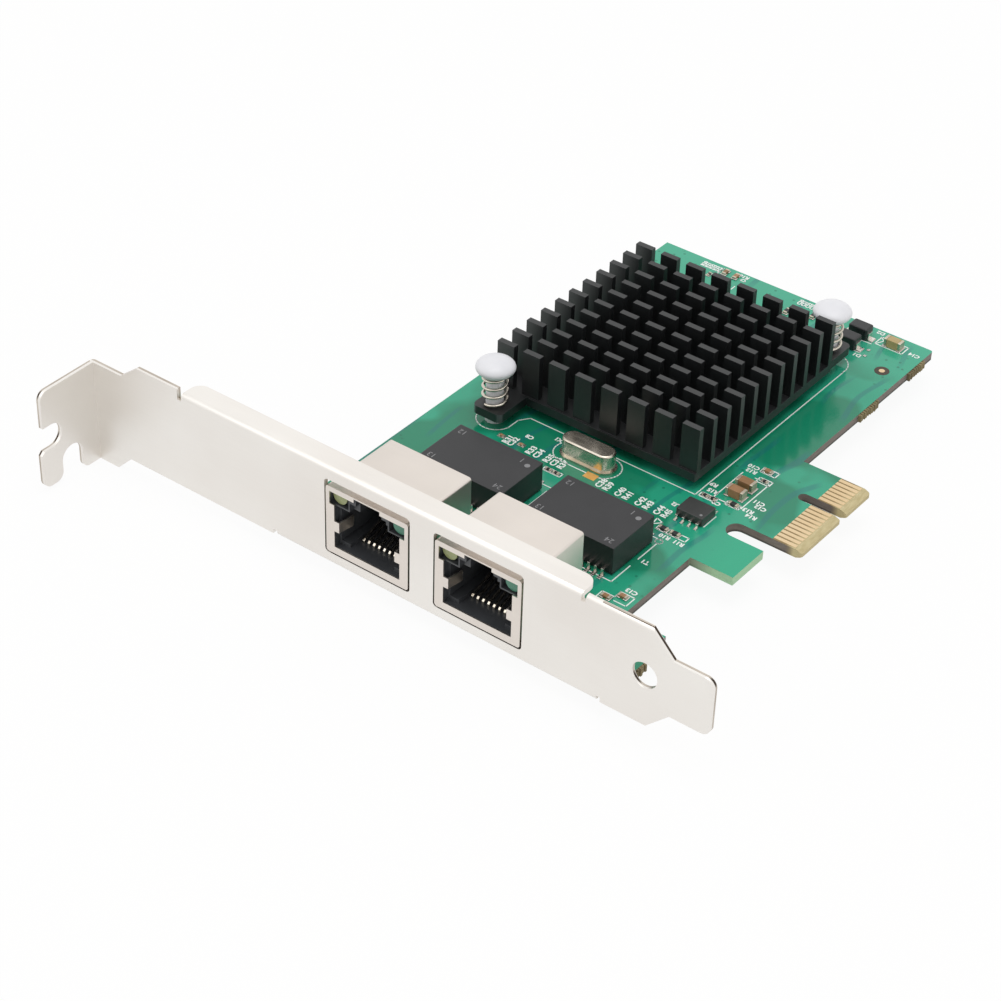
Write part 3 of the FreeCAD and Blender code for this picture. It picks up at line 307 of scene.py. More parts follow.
tree = bracket_steel.node_tree
shader = tree.nodes["Principled BSDF"]
spot = node(tree, "SeparateXYZ", [node(tree, "TexCoord").outputs["Object"]]).outputs
past_folds = node(tree, "Math", (1.0, inside(tree, spot["X"], FOLD_LEFT, FOLD_RIGHT)), operation="SUBTRACT")
between_folds = inside(tree, spot["Z"], FOLD_LOW, FOLD_HIGH)
off_folds = node(tree, "Math", (between_folds, past_folds), operation="MAXIMUM")
on_plate = node(tree, "Math", (off_folds, inside(tree, spot["Y"], TORN_FROM, TORN_TO)), operation="MULTIPLY")
tab_depth = inside(tree, spot["X"], TAB_TORN_FROM, TAB_TORN_TO)
in_front = node(tree, "Math", (spot["Y"], 0.0), operation="LESS_THAN")
on_tab = node(tree, "Math", (tab_depth, in_front), operation="MULTIPLY")
torn = node(tree, "Math", (on_plate, on_tab), operation="MAXIMUM")

# Painted shade: where the normal points between two axes, the torn band is painted much darker.
turned_to = node(tree, "SeparateXYZ", [node(tree, "NewGeometry").outputs["Normal"]]).outputs
sideways = node(tree, "Math", (turned_to["X"], turned_to["Y"]), operation="SUBTRACT")
diagonal = node(tree, "Math", (sideways, turned_to["Z"]), operation="MULTIPLY")
slant_painted_shade = node(tree, "MapRange", (diagonal, 0.2, 0.4, 0.0, 1.0))
dull = mottled(tree, patches(tree, 6.0, shift=0.4), "#B3A89C", "#CFC6BB")
torn_tone_and_shade = layered(tree, dull, (slant_painted_shade, linear("#4A4038")))
plated = shader.inputs["Base Color"].links[0].from_socket
fill(tree, shader, {"Base Color": layered(tree, plated, (torn, torn_tone_and_shade))})
print("torn band in millimetres:", round((TORN_TO - TORN_FROM) / MM, 2))

# %% [markdown]
# ## Plastics and ceramics
# Moulded packages are epoxy or nylon with a very fine spark texture: nearly
# even in tone, and satin. Black ones look grey on top only because they
# mirror the white room there, so their own colour is kept dark.

# %% Moulded and fired finishes
CLOUD_MM = 5.0


def moulded(name, first, second, roughness, grain_mm=0.12, relief_mm=0.006, **constants):
    """Moulded or fired material: nearly even tone and a fine grain."""
    made, tree, shader = finish(name, **constants)
    grain = patches(tree, grain_mm, detail=2.0, shift=0.3)
    satin = node(tree, "MapRange", (grain, NOISE_LOW, NOISE_HIGH, roughness - 0.05, roughness + 0.05))
    fill(tree, shader, {
        "Base Color": mottled(tree, patches(tree, CLOUD_MM), first, second),
        "Roughness": satin,
        "Normal": node(tree, "Bump", {"Height": grain, "Distance": relief_mm * MM, "Strength": 0.3}),
    })
    return made


# Epoxy packages are nearly black at the side, with a soft grey sheen on top.
transformer_resin = moulded("black_epoxy_moulding", "#262628", "#202022", 0.42)
chip_resin = moulded("black_package_resin", "#28292A", "#212223", 0.4)
memory_resin = moulded("dark_grey_package_resin", "#3D3E3D", "#333433", 0.4)

# Glass fibres at its skin make the jacks' nylon greyer. The pins' plain nylon lets some light in.
jack_plastic = moulded("black_glass_filled_nylon", "#46484B", "#3C3E41", 0.4)
pin_nylon = moulded("natural_white_nylon", "#E9E9EC", "#DFDFE3", 0.42, relief_mm=0.003,
                    Subsurface_Weight=0.12, Subsurface_Radius=(MM, MM, MM))

# Fired ceramic is warm, dry and a little speckled.
brown_ceramic = moulded("brown_fired_ceramic", "#B28561", "#8A6743", 0.4)
pale_ceramic = moulded("pale_fired_ceramic", "#BFA978", "#A8925F", 0.42)

# The lamps' lenses are smooth tinted resin, dull while the lamps are off.
yellow_lens = moulded("yellow_green_lens_resin", "#9FA676", "#909768", 0.25, relief_mm=0.002)
green_lens = moulded("green_lens_resin", "#4F8C74", "#427B64", 0.25, relief_mm=0.002)

# Silicone, ink and laser marks are matt, so they show as plain tone.
pad_grey = moulded("grey_silicone_pad", "#8F9193", "#7F8183", 0.7)
white_ink = moulded("white_silkscreen_ink", "#F1F5F1", "#E2EBE5", 0.6, relief_mm=0.003)
grey_ink = moulded("grey_laser_mark", "#8B8B8C", "#7C7C7E", 0.6, relief_mm=0.003)

# Without varnish the laminate is brown, and rough and paler where it was snapped.
snapped_glass = moulded("snapped_glass_laminate", "#9A8C66", "#665A42", 0.8, grain_mm=0.25, relief_mm=0.05)
bare_laminate = moulded("bare_brown_laminate", "#483C31", "#3B3129", 0.6)
print("finishes so far:", len(bpy.data.materials))

# %% [markdown]
# ## The anodised heat sink
# The sink is pressed aluminium, cross-cut into blades and then dyed black in
# an acid bath. The oxide layer has a higher index than plastic, which is what
# turns the level tops grey under the white room. The acid leaves a fine, even
# matt grain, so nothing is mirrored sharply. The deburred edges get a painted
# highlight, a paler grey that stands in for the light they catch: the finish
# finds them by their normals, which point along no axis.

# %% Black anodised aluminium
OXIDE_INDEX = 1.62
ETCH_GRAIN_MM = 0.15
DYE_CLOUD_MM = 8.0
TURNED, SQUARE = 0.9, 0.99

black_anodised, tree, shader = finish("black_anodised_aluminium", IOR=OXIDE_INDEX)
normal = node(tree, "NewGeometry").outputs["Normal"]
facing = node(tree, "SeparateXYZ", [node(tree, "VectorMath", [normal], operation="ABSOLUTE")]).outputs
upright = node(tree, "Math", (facing["Y"], facing["Z"]), operation="MAXIMUM")
squareness = node(tree, "Math", (facing["X"], upright), operation="MAXIMUM")
# Painted highlight: edges whose normals point along no axis are painted a paler grey.
painted_edge_highlight = node(tree, "MapRange", (squareness, TURNED, SQUARE, 1.0, 0.0))
dyed = mottled(tree, patches(tree, DYE_CLOUD_MM), "#111415", "#0C0E0F")
etched = patches(tree, ETCH_GRAIN_MM, detail=2.0)
fill(tree, shader, {
    "Base Color": layered(tree, dyed, (painted_edge_highlight, linear("#45484A"))),
    "Roughness": node(tree, "MapRange", (etched, NOISE_LOW, NOISE_HIGH, 0.4, 0.48)),
    "Normal": node(tree, "Bump", {"Height": etched, "Distance": 0.0015 * MM, "Strength": 0.15}),
})
print("index of the oxide:", OXIDE_INDEX)

# %% [markdown]
# ## The circuit board
# A board is glass-fibre laminate under a green varnish, the solder mask.
# The varnish is glossy: where it mirrors the white room the green turns pale,
# and where it mirrors the black sink it stays deep. Copper under it shows as
# a slightly lighter green than bare laminate, and the sawn edges show the
# brown laminate itself. One material paints all of it from the piece's own
# coordinates: the height tells edge from face.

# %% Copper seen through the varnish, and painted light on the far strip
PLANE_MM = 11.0
TRACK_BEND_MM = 16.0
VIA_SPACING_MM = 2.9
VIA_RADIUS_MM = 0.2
VIA_SHARE = VIA_RADIUS_MM / VIA_SPACING_MM
FAR_STRIP_FROM, FAR_STRIP_TO = 88.0 * MM, 97.0 * MM

mask_green, tree, shader = finish("green_solder_mask_on_laminate", IOR=1.5)
where = node(tree, "TexCoord").outputs["Object"]
spot = node(tree, "SeparateXYZ", [where]).outputs
plane = node(tree, "MapRange", (patches(tree, PLANE_MM, detail=1.5), 0.46, 0.54, 0.0, 1.0))
# Painted light: towards the far edge the varnished face is painted paler, as if lit more there.
far_painted_light = node(tree, "MapRange", (spot["Y"], FAR_STRIP_FROM, FAR_STRIP_TO, 0.0, 0.9))

winding = node(tree, "TexWave", {"Vector": where, "Scale": 1 / (TRACK_BEND_MM * MM), "Distortion": 7.0,
                                 "Detail": 1.0, "Detail Scale": 0.6}).outputs["Fac"]
lines = node(tree, "MapRange", (winding, 0.86, 0.95, 0.0, 1.0))
tracked = node(tree, "MapRange", (patches(tree, 13.0, detail=0.0, shift=0.7), 0.46, 0.56, 0.0, 0.5))
tracks = node(tree, "Math", (lines, tracked), operation="MULTIPLY")

holes = node(tree, "TexVoronoi", {"Vector": where, "Scale": 1 / (VIA_SPACING_MM * MM)}, feature="F1",
             voronoi_dimensions="2D")
via = node(tree, "MapRange", (holes, VIA_SHARE, VIA_SHARE + 0.03, 1.0, 0.0))
crowded = node(tree, "MapRange", (patches(tree, 12.0, detail=0.0, shift=0.25), 0.56, 0.62, 0.0, 0.6))
vias = node(tree, "Math", (via, crowded), operation="MULTIPLY")
print("nodes under the varnish:", len(tree.nodes))

# %% Layers of the varnished face
HOOK_START = 96.6 * MM
HOOK_NEAR = 32.5 * MM
HOOK_FAR = 41.6 * MM

fading_in = node(tree, "MapRange", (spot["X"], HOOK_START - 4.0 * MM, HOOK_START + 2.0 * MM, 0.0, 1.0))
on_hook = node(tree, "Math", (fading_in, inside(tree, spot["Y"], HOOK_NEAR, HOOK_FAR)), operation="MULTIPLY")
hook_share = node(tree, "Math", (on_hook, 0.9), operation="MULTIPLY")
# Over the varnish: copper plane, the far strip's painted light, tracks, vias and the hook.
varnished = layered(tree, linear("#188362"), (plane, linear("#28A07E")), (far_painted_light, linear("#3CAB8A")),
                    (tracks, linear("#1C6F72")), (vias, linear("#156650")), (hook_share, linear("#25A881")))
print("the hook starts behind the plate at", round(HOOK_NEAR / MM, 1), "mm")

# %% Sawn edges and the bare tongue round the gold contacts
BOARD_LOW, BOARD_HIGH = (corner[2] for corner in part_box("circuit_board"))
BOARD_THICK = BOARD_HIGH - BOARD_LOW
FINGER_START = 101.6 * MM
FINGER_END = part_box("edge_contacts_front")[1][0]
EDGE_SKIN = 0.03 * MM

middle_height = (BOARD_LOW + BOARD_HIGH) / 2
from_middle = node(tree, "Math", (spot["Z"], middle_height), operation="SUBTRACT")
off_middle = node(tree, "Math", [from_middle], operation="ABSOLUTE")
on_edge = node(tree, "Math", (off_middle, BOARD_THICK / 2 - EDGE_SKIN), operation="LESS_THAN")
past_hook = node(tree, "Math", (spot["Y"], HOOK_FAR), operation="GREATER_THAN")
past_start = node(tree, "Math", (spot["X"], FINGER_START), operation="GREATER_THAN")
on_tongue = node(tree, "Math", (past_start, past_hook), operation="MULTIPLY")
milled = node(tree, "MapRange", (spot["X"], FINGER_END - 1.6 * MM, FINGER_END - 0.2 * MM, 0.0, 1.0))
milled_edge = node(tree, "Math", (milled, past_hook), operation="MULTIPLY")
# Painted shade: the lowest part of each sawn edge is painted darker, as if under the board's own shadow.
low_painted_shade = node(tree, "MapRange", (spot["Z"], BOARD_LOW + 0.25 * MM, BOARD_LOW + 0.5 * MM, 0.8, 0.0))

fibres = patches(tree, 0.5, (0.3, 0.3, 3.0), 3.0, 0.2)
sawn = mottled(tree, fibres, "#857B74", "#6F655F")
bare = layered(tree, linear("#8C7850"), (milled, mottled(tree, fibres, "#CDBF94", "#B9AA7D")))
laminate = layered(tree, sawn, (low_painted_shade, linear("#35302C")), (milled_edge, bare),
                   (on_hook, linear("#ABD0A8")))
print("board thickness in millimetres:", round(BOARD_THICK / MM, 2))

# %% Gloss of the varnish
LAMINATE_ROUGHNESS = 0.7
VALUE_BELOW, VALUE_ABOVE = 2, 3

sheen = node(tree, "MapRange", (patches(tree, 3.0), NOISE_LOW, NOISE_HIGH, 0.1, 0.16))
matt_tongue = node(tree, "Math", (on_tongue, 0.6), operation="MULTIPLY")
matt = node(tree, "Math", (on_edge, matt_tongue), operation="MAXIMUM")
gloss = {AMOUNT: matt, VALUE_BELOW: sheen, VALUE_ABOVE: LAMINATE_ROUGHNESS}
raised = node(tree, "Math", (plane, vias), operation="ADD")
fill(tree, shader, {
    "Base Color": layered(tree, varnished, (on_tongue, bare), (on_edge, laminate)),
    "Roughness": node(tree, "Mix", gloss, data_type="FLOAT"),
    "Normal": node(tree, "Bump", {"Height": raised, "Distance": 0.012 * MM, "Strength": 0.15}),
})
print("nodes in the board's finish:", len(tree.nodes))

# %% Give every solid its finish
FINISHES = {
    "io_bracket": bracket_steel, "bracket_screws": screw_steel, "circuit_board": mask_green,
    "edge_contacts_front": contact_gold, "edge_contacts_back": contact_gold, "heat_sink": black_anodised,
    "controller_chip": chip_resin, "thermal_pad": pad_grey, "crystal_base": can_steel,
    "crystal_can": can_steel, "memory_chip": memory_resin, "memory_chip_leads": lead_tin,
    "power_diodes": chip_resin, "power_diode_leads": lead_tin, "ceramic_capacitors": brown_ceramic,
    "pale_capacitor": pale_ceramic, "capacitor_ends": cap_tin, "small_capacitors": brown_ceramic,
    "small_resistors": chip_resin, "small_chip_ends": cap_tin,
}
HANDS = ("left", "right")
for hand in HANDS:
    FINISHES.update({
        f"{hand}_jack_shield": shield_steel, f"{hand}_jack_housing": jack_plastic,
        f"{hand}_jack_contacts": wire_gold, f"{hand}_yellow_lamp": yellow_lens,
        f"{hand}_green_lamp": green_lens, f"{hand}_transformer": transformer_resin,
        f"{hand}_transformer_leads": lead_tin, f"{hand}_push_pin": pin_nylon,
        f"{hand}_pin_spring": spring_wire,
    })
for name, solid in nodes.items():
    solid.data.materials.clear()
    solid.data.materials.append(FINISHES[name])
print("finishes in use:", len(set(FINISHES.values())))

# %% [markdown]
# ## Broken edges
# No real edge is knife-sharp. Sheared sheet rolls over at its rim, moulds
# have a small radius and the sink's blades are deburred. A bevel of a tenth
# or two of a millimetre catches a thin line of light along each edge. The
# frame's meshes are loose triangles, so a weld comes first to join them.

# %% Soften the edges with live modifiers
EDGE_ROUNDS_MM = {
    "io_bracket": 0.2, "heat_sink": 0.26, "memory_chip": 0.12, "power_diodes": 0.3,
    "ceramic_capacitors": 0.12, "pale_capacitor": 0.12, "capacitor_ends": 0.1, "memory_chip_leads": 0.05,
    "power_diode_leads": 0.08, "small_capacitors": 0.06, "small_resistors": 0.06, "small_chip_ends": 0.06,
}
for hand in HANDS:
    EDGE_ROUNDS_MM.update({
        f"{hand}_transformer": 0.12, f"{hand}_jack_housing": 0.08, f"{hand}_jack_shield": 0.08,
        f"{hand}_transformer_leads": 0.05, f"{hand}_jack_contacts": 0.08,
    })
SHARP_TURN = math.radians(40)
JOINED_WITHIN = 0.002 * MM


def soften_edges(piece, width_mm):
    """Joins the loose triangles, then rounds every edge that turns sharply."""
    weld = piece.modifiers.new("join_facets", "WELD")
    weld.merge_threshold = JOINED_WITHIN
    round_off = piece.modifiers.new("broken_edge", "BEVEL")
    round_off.width = width_mm * MM
    round_off.segments = 3
    round_off.limit_method = "ANGLE"
    round_off.angle_limit = SHARP_TURN


for name, width in EDGE_ROUNDS_MM.items():
    soften_edges(nodes[name], width)
print("nodes with softened edges:", len(EDGE_ROUNDS_MM))

# %% [markdown]
# ## Printed ink
# The white lines on a board are ink laid on the varnish through a mesh. Each
# straight stroke is a flat strip, made from a plane that is stretched to its
# length and turned, and then given the ink's thickness. All strokes are
# joined into one piece, because they are one print.

# %% Settle and join pieces
def settle(piece, name, material):
    """Names a new piece, gives it its material and lets it ride with the card."""
    piece.name = name
    piece.data.materials.clear()
    piece.data.materials.append(material)
    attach(piece, "root")
    print(name, "has", len(piece.data.polygons), "faces")
    return piece


def join(pieces):
    """Joins several meshes into the first of them, with its place in its mesh."""
    bpy.ops.object.select_all(action="DESELECT")
    for piece in pieces:
        piece.select_set(True)
    bpy.context.view_layer.objects.active = pieces[0]
    bpy.ops.object.join()
    bpy.ops.object.transform_apply(location=True, rotation=True, scale=True)
    return pieces[0]


# %% Strokes
INK_THICK = 0.03 * MM
INK_LEVEL = BOARD_HIGH + INK_THICK
STROKE_MM = 0.2
STROKE_OVERLAP = 0.7


def stroke(start, end):
    """One straight strip between two places in millimetres."""
    start, end = Vector(start) * MM, Vector(end) * MM
    middle = (start + end) / 2
    run = end - start
    bpy.ops.object.select_all(action="DESELECT")
    bpy.ops.mesh.primitive_plane_add(size=1, location=(middle.x, middle.y, INK_LEVEL),
                                     rotation=(0, 0, math.atan2(run.y, run.x)))
    strip = bpy.context.object
    strip.scale = (run.length + STROKE_MM * MM * STROKE_OVERLAP, STROKE_MM * MM, 1)
    bpy.ops.object.transform_apply(location=True, rotation=True, scale=True)
    return strip


def outline(corners, closed=False):
    """Strips along a row of places."""
    ends = corners[1:] + corners[:1] if closed else corners[1:]
    return [stroke(start, end) for start, end in zip(corners, ends)]


def oblong(left, right, near, far):
    """The four corners of an upright box."""
    return [(left, near), (right, near), (right, far), (left, far)]


def arc(middle, radius, start_deg, end_deg, steps=14):
    """Places on a round stretch, from one angle to another."""
    angles = [math.radians(start_deg + (end_deg - start_deg) * i / steps) for i in range(steps + 1)]
    return [(middle[0] + radius * math.cos(a), middle[1] + radius * math.sin(a)) for a in angles]


# %% Outlines round the sink, transformers, crystal and capacitors
LEFT_EAR = (48.9, 43.2)
RIGHT_EAR = (82.4, 91.9)
CRYSTAL_LEFT_END, CRYSTAL_RIGHT_END = (64.1, 43.35), (70.6, 43.35)
TRANSFORMER_SPANS = ((48.9, 67.3), (70.3, 88.45))

sink_print = (
    arc(LEFT_EAR, 3.3, 150, 345)
    + [(52.1, 45.0), (53.3, 46.75), (85.9, 46.75), (85.9, 91.0)]
    + arc(RIGHT_EAR, 3.5, -10, 190, 16)
    + [(78.6, 88.6), (44.8, 88.6), (44.8, 46.6), (46.2, 45.3)]
)
strokes = outline(sink_print)
for left_edge, right_edge in TRANSFORMER_SPANS:
    strokes += outline([(right_edge, 25.4), (right_edge, 20.45), (left_edge, 20.45), (left_edge, 33.6),
                        (right_edge, 33.6)])
    strokes += outline([(right_edge, 27.5), (right_edge, 32.5)])
strokes += outline(arc((88.4, 33.15), 0.6, 0, 360, 16), closed=True)
strokes += outline(arc(CRYSTAL_LEFT_END, 2.95, 95, 265) + arc(CRYSTAL_RIGHT_END, 2.95, -85, 85), closed=True)

OPEN_PRINTS = (
    [(88.5, 56.5), (88.5, 48.1), (93.6, 48.1), (93.6, 56.5), (90.9, 56.5)],
    [(91.7, 40.6), (91.7, 44.0)],
    [(88.7, 15.6), (88.7, 17.8), (91.0, 17.8), (91.0, 19.4), (93.6, 19.4), (93.6, 17.0), (91.4, 17.0)],
    [(85.6, 102.5), (86.3, 104.0), (85.6, 104.5)],
    [(56.8, 100.9), (56.8, 102.1)],
    [(52.0, 103.4), (52.0, 105.9)],
    [(83.0, 98.2), (84.8, 98.2)],
    [(83.2, 101.7), (85.0, 101.8)],
)
CLOSED_PRINTS = (
    oblong(90.9, 93.4, 47.65, 48.75), oblong(86.1, 91.6, 35.55, 36.7), oblong(90.5, 93.3, 58.5, 59.9),
    oblong(91.4, 93.8, 55.9, 57.2), oblong(85.4, 90.7, 102.35, 104.8), oblong(63.2, 66.6, 36.75, 37.7),
    oblong(86.4, 89.4, 46.95, 48.05), [(85.0, 36.2), (86.1, 37.4), (84.8, 37.9)],
    [(56.3, 104.4), (57.4, 104.4), (56.9, 105.3)],
)
for corners in OPEN_PRINTS:
    strokes += outline(corners)
for corners in CLOSED_PRINTS:
    strokes += outline(corners, closed=True)
print("straight strokes:", len(strokes))

# %% One print with the ink's thickness
print_lines = join(strokes)
wall = print_lines.modifiers.new("ink_thickness", "SOLIDIFY")
wall.thickness = INK_THICK
wall.offset = -1
bpy.ops.object.modifier_apply(modifier=wall.name)
settle(print_lines, "printed_outlines", white_ink)

# %% [markdown]
# ## Designators
# Every small part has its number beside it. They are lettering of the
# plainest kind, a letter for the kind of part and a number, set in rows and
# turned into flat meshes. A few pin numbers and dots stand on the moulded
# packages, where a laser has marked the resin grey.

# %% One flat word
LETTER_MM = 0.9
LETTER_SWELL = 0.06
TEXT_SCALE = 1.35


def marking(words, place, turn_deg=180, height=LETTER_MM, low=INK_LEVEL, swell=LETTER_SWELL):
    """One flat word at a place in millimetres."""
    bpy.ops.object.select_all(action="DESELECT")
    bpy.ops.object.text_add(location=(place[0] * MM, place[1] * MM, low),
                            rotation=(0, 0, math.radians(turn_deg)))
    written = bpy.context.object
    written.data.body = words
    written.data.size = height * MM * TEXT_SCALE
    written.data.align_x = "CENTER"
    written.data.align_y = "CENTER"
    written.data.offset = swell * MM
    written.data.resolution_u = 2
    bpy.ops.object.convert(target="MESH")
    bpy.ops.object.transform_apply(location=True, rotation=True, scale=True)
    return bpy.context.object


print("letters rise above the board, in millimetres:", round((INK_LEVEL - BOARD_HIGH) / MM, 3))

# %% Rows of designators
ROW_LETTER_MM = 1.1
ROW_BEHIND_TRANSFORMERS = 39.75
ROW_PLACES = (54.1, 55.1, 58.8, 60.3, 62.3, 63.7, 65.1, 72.7, 74.1, 76.4, 77.9, 80.3, 81.8, 83.9, 85.3)
FIRST_ROW_NUMBER = 31
BLOCK_LETTER_MM = 0.75
BLOCK_PITCH_MM = 0.85
FIRST_BLOCK_NUMBER = 20
SINGLE_LABELS = (
    ("C8", (56.4, 42.5)), ("X1", (60.5, 44.9)), ("U2", (85.1, 42.6)), ("R9", (86.8, 50.8)),
    ("C9", (89.8, 47.0)), ("T1", (89.7, 27.6)), ("R10", (88.4, 34.7)), ("R11", (91.0, 34.7)),
    ("C10", (89.1, 58.9)), ("R12", (89.4, 57.7)), ("C11", (95.0, 51.3)), ("C12", (95.9, 50.3)),
    ("R13", (94.8, 48.5)), ("R14", (96.0, 47.5)), ("C13", (92.3, 20.4)), ("D1", (84.9, 97.3)),
    ("C14", (92.6, 103.4)), ("R15", (87.6, 49.3)), ("C15", (90.4, 53.9)), ("R16", (56.4, 105.8)),
    ("R17", (75.2, 104.6)), ("D2", (84.6, 105.8)),
)

labels = []
for number, place in enumerate(ROW_PLACES):
    words = f"{'RC'[number % 2]}{FIRST_ROW_NUMBER + number}"
    labels.append(marking(words, (place, ROW_BEHIND_TRANSFORMERS), 90, ROW_LETTER_MM))
for words, place in SINGLE_LABELS:
    labels.append(marking(words, place))
for column in range(5):
    number = FIRST_BLOCK_NUMBER + column
    along = BLOCK_PITCH_MM * column
    labels.append(marking(f"R{number}", (48.4 + along, 105.0), 90, BLOCK_LETTER_MM))
    labels.append(marking(f"C{number}", (68.6 + along, 105.2), 90, BLOCK_LETTER_MM))
print("designators:", len(labels))
settle(join(labels), "printed_designators", white_ink)

# %% [markdown]
# ## Pads and the sighting mark
# A bare gold pad lies in front of the crystal, and a sighting mark for the
# placing machine near the far corner: a gold dot in a ring of bare laminate.
# Each is a flat plate, filled from a ring of points and extruded up by its
# thickness.

# %% Flat plates
CORNER_TURN = math.radians(45)
SIGHTING_MARK = (90.72, 95.85)


def flat_plate(place, size_mm, thick_mm, points, low=BOARD_HIGH):
    """A thin plate; four points make a square one, more make it round."""
    half_turn = math.cos(math.pi / points) if points == 4 else 1.0
    bpy.ops.object.select_all(action="DESELECT")
    bpy.ops.mesh.primitive_circle_add(vertices=points, radius=0.5 * MM / half_turn, fill_type="NGON",
                                      location=(place[0] * MM, place[1] * MM, low),
                                      rotation=(0, 0, CORNER_TURN))
    plate = bpy.context.object
    bpy.ops.object.transform_apply(location=False, rotation=True, scale=True)
    plate.scale = (size_mm[0], size_mm[1], 1)
    bpy.ops.object.transform_apply(location=True, rotation=True, scale=True)
    bpy.ops.object.mode_set(mode="EDIT")
    bpy.ops.mesh.select_all(action="SELECT")
    bpy.ops.mesh.extrude_region_move(TRANSFORM_OT_translate={"value": (0, 0, thick_mm * MM)})
    bpy.ops.mesh.select_all(action="SELECT")
    bpy.ops.mesh.normals_make_consistent(inside=False)
    bpy.ops.object.mode_set(mode="OBJECT")
    return plate


settle(flat_plate((70.3, 40.15), (2.2, 1.6), 0.04, 4), "bare_gold_pad", bare_gold)
settle(flat_plate(SIGHTING_MARK, (2.6, 2.6), 0.02, 32), "sighting_ring", bare_laminate)
settle(flat_plate(SIGHTING_MARK, (1.05, 1.05), 0.05, 24), "sighting_dot", contact_gold)

# %% Laser marks on the transformers and the memory chip
PIN_LETTER_MM = 1.15
MARK_THICK_MM = 0.012

marks = []
for hand in HANDS:
    low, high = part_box(f"{hand}_transformer")
    top = high[2] + 0.01 * MM
    right_end, left_end = high[0] / MM, low[0] / MM
    near, far = low[1] / MM, high[1] / MM
    marks += [flat_plate((right_end - 1.5, far - 2.2), (0.95, 0.95), MARK_THICK_MM, 20, low=high[2])]
    for words, place in (("1", (right_end - 3.0, far - 1.5)), ("12", (left_end + 1.6, far - 1.5)),
                         ("13", (left_end + 1.6, near + 1.4)), ("24", (right_end - 1.8, near + 1.4))):
        marks.append(marking(words, place, 180, PIN_LETTER_MM, top, 0.0))
low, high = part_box("memory_chip")
marks.append(flat_plate((high[0] / MM - 0.75, low[1] / MM + 0.8), (0.5, 0.5), MARK_THICK_MM, 16, low=high[2]))
print("laser marks:", len(marks))
settle(join(marks), "transformer_pin_marks", grey_ink)

# %% [markdown]
# ## Solder
# Each lead stands in a small wet-looking wedge of solder on its pad, and each
# chip's metal ends have a skirt of it. One wedge is a block with all its
# edges broken wide. The lead feet repeat at one pitch, so the first wedge is
# modelled and the others are copies, each with its own mesh. For the small
# chips the ends' own boxes are read from a merged copy of their node.

# %% One wedge of solder
SHOULDER = 0.6


def block(middle, size, corner, turn=0.0):
    """A block with its edges broken; its middle, three sides and corner are in millimetres."""
    bpy.ops.object.select_all(action="DESELECT")
    bpy.ops.mesh.primitive_cube_add(size=1, location=Vector(middle) * MM)
    piece = bpy.context.object
    piece.scale = Vector(size) * MM
    piece.rotation_euler.z = turn
    bpy.ops.object.transform_apply(location=False, rotation=True, scale=True)
    bpy.ops.object.mode_set(mode="EDIT")
    bpy.ops.mesh.select_all(action="SELECT")
    bpy.ops.mesh.bevel(offset=corner * MM, segments=2)
    bpy.ops.object.mode_set(mode="OBJECT")
    return piece


def solder_wedge(place, width, length, height):
    """A low, round-shouldered block of solder, standing on the board."""
    middle = (place[0], place[1], BOARD_HIGH / MM + height / 2)
    return block(middle, (width, length, height), height * SHOULDER)


print("a wedge's broken edge, as a share of its height:", SHOULDER)

# %% The wedge copied to each lead foot
LEAD_PITCH_MM = 1.27
LEAD_WIDE_MM = 0.45
BIG_FOOT_MM = (0.7, 1.3, 0.16)
SMALL_FOOT_MM = (0.55, 0.7, 0.1)
FOOT_ROWS = (
    ("left_transformer_leads", 0.25, BIG_FOOT_MM, 12),
    ("right_transformer_leads", 0.25, BIG_FOOT_MM, 12),
    ("memory_chip_leads", 0.15, SMALL_FOOT_MM, 4),
)


def row_of(piece, count):
    """The piece and its copies, a lead's pitch apart along X, each with its own mesh."""
    row = [piece]
    for i in range(1, count):
        twin = piece.copy()
        twin.data = piece.data.copy()
        twin.location.x += LEAD_PITCH_MM * i * MM
        bpy.context.scene.collection.objects.link(twin)
        row.append(twin)
    return row


wedges = []
for name, inset, foot_mm, count in FOOT_ROWS:
    low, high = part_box(name)
    first = low[0] / MM + LEAD_WIDE_MM / 2
    for edge in (low[1] / MM + inset, high[1] / MM - inset):
        wedges += row_of(solder_wedge((first, edge), *foot_mm), count)
print("wedges at lead feet:", len(wedges))

# %% Skirts round the chip ends
def loose_boxes(name):
    """The box of each separate solid in one node, read from a merged copy."""
    bpy.ops.object.select_all(action="DESELECT")
    twin = nodes[name].copy()
    twin.data = nodes[name].data.copy()
    twin.modifiers.clear()
    twin.parent = None
    bpy.context.scene.collection.objects.link(twin)
    twin.select_set(True)
    bpy.context.view_layer.objects.active = twin
    bpy.ops.object.mode_set(mode="EDIT")
    bpy.ops.mesh.select_all(action="SELECT")
    bpy.ops.mesh.remove_doubles(threshold=JOINED_WITHIN)
    bpy.ops.mesh.separate(type="LOOSE")
    bpy.ops.object.mode_set(mode="OBJECT")
    boxes = []
    for part in list(bpy.context.selected_objects):
        corners = [vertex.co for vertex in part.data.vertices]
        boxes.append([[pick(c[axis] for c in corners) for axis in range(3)] for pick in (min, max)])
        bpy.data.objects.remove(part)
    return boxes


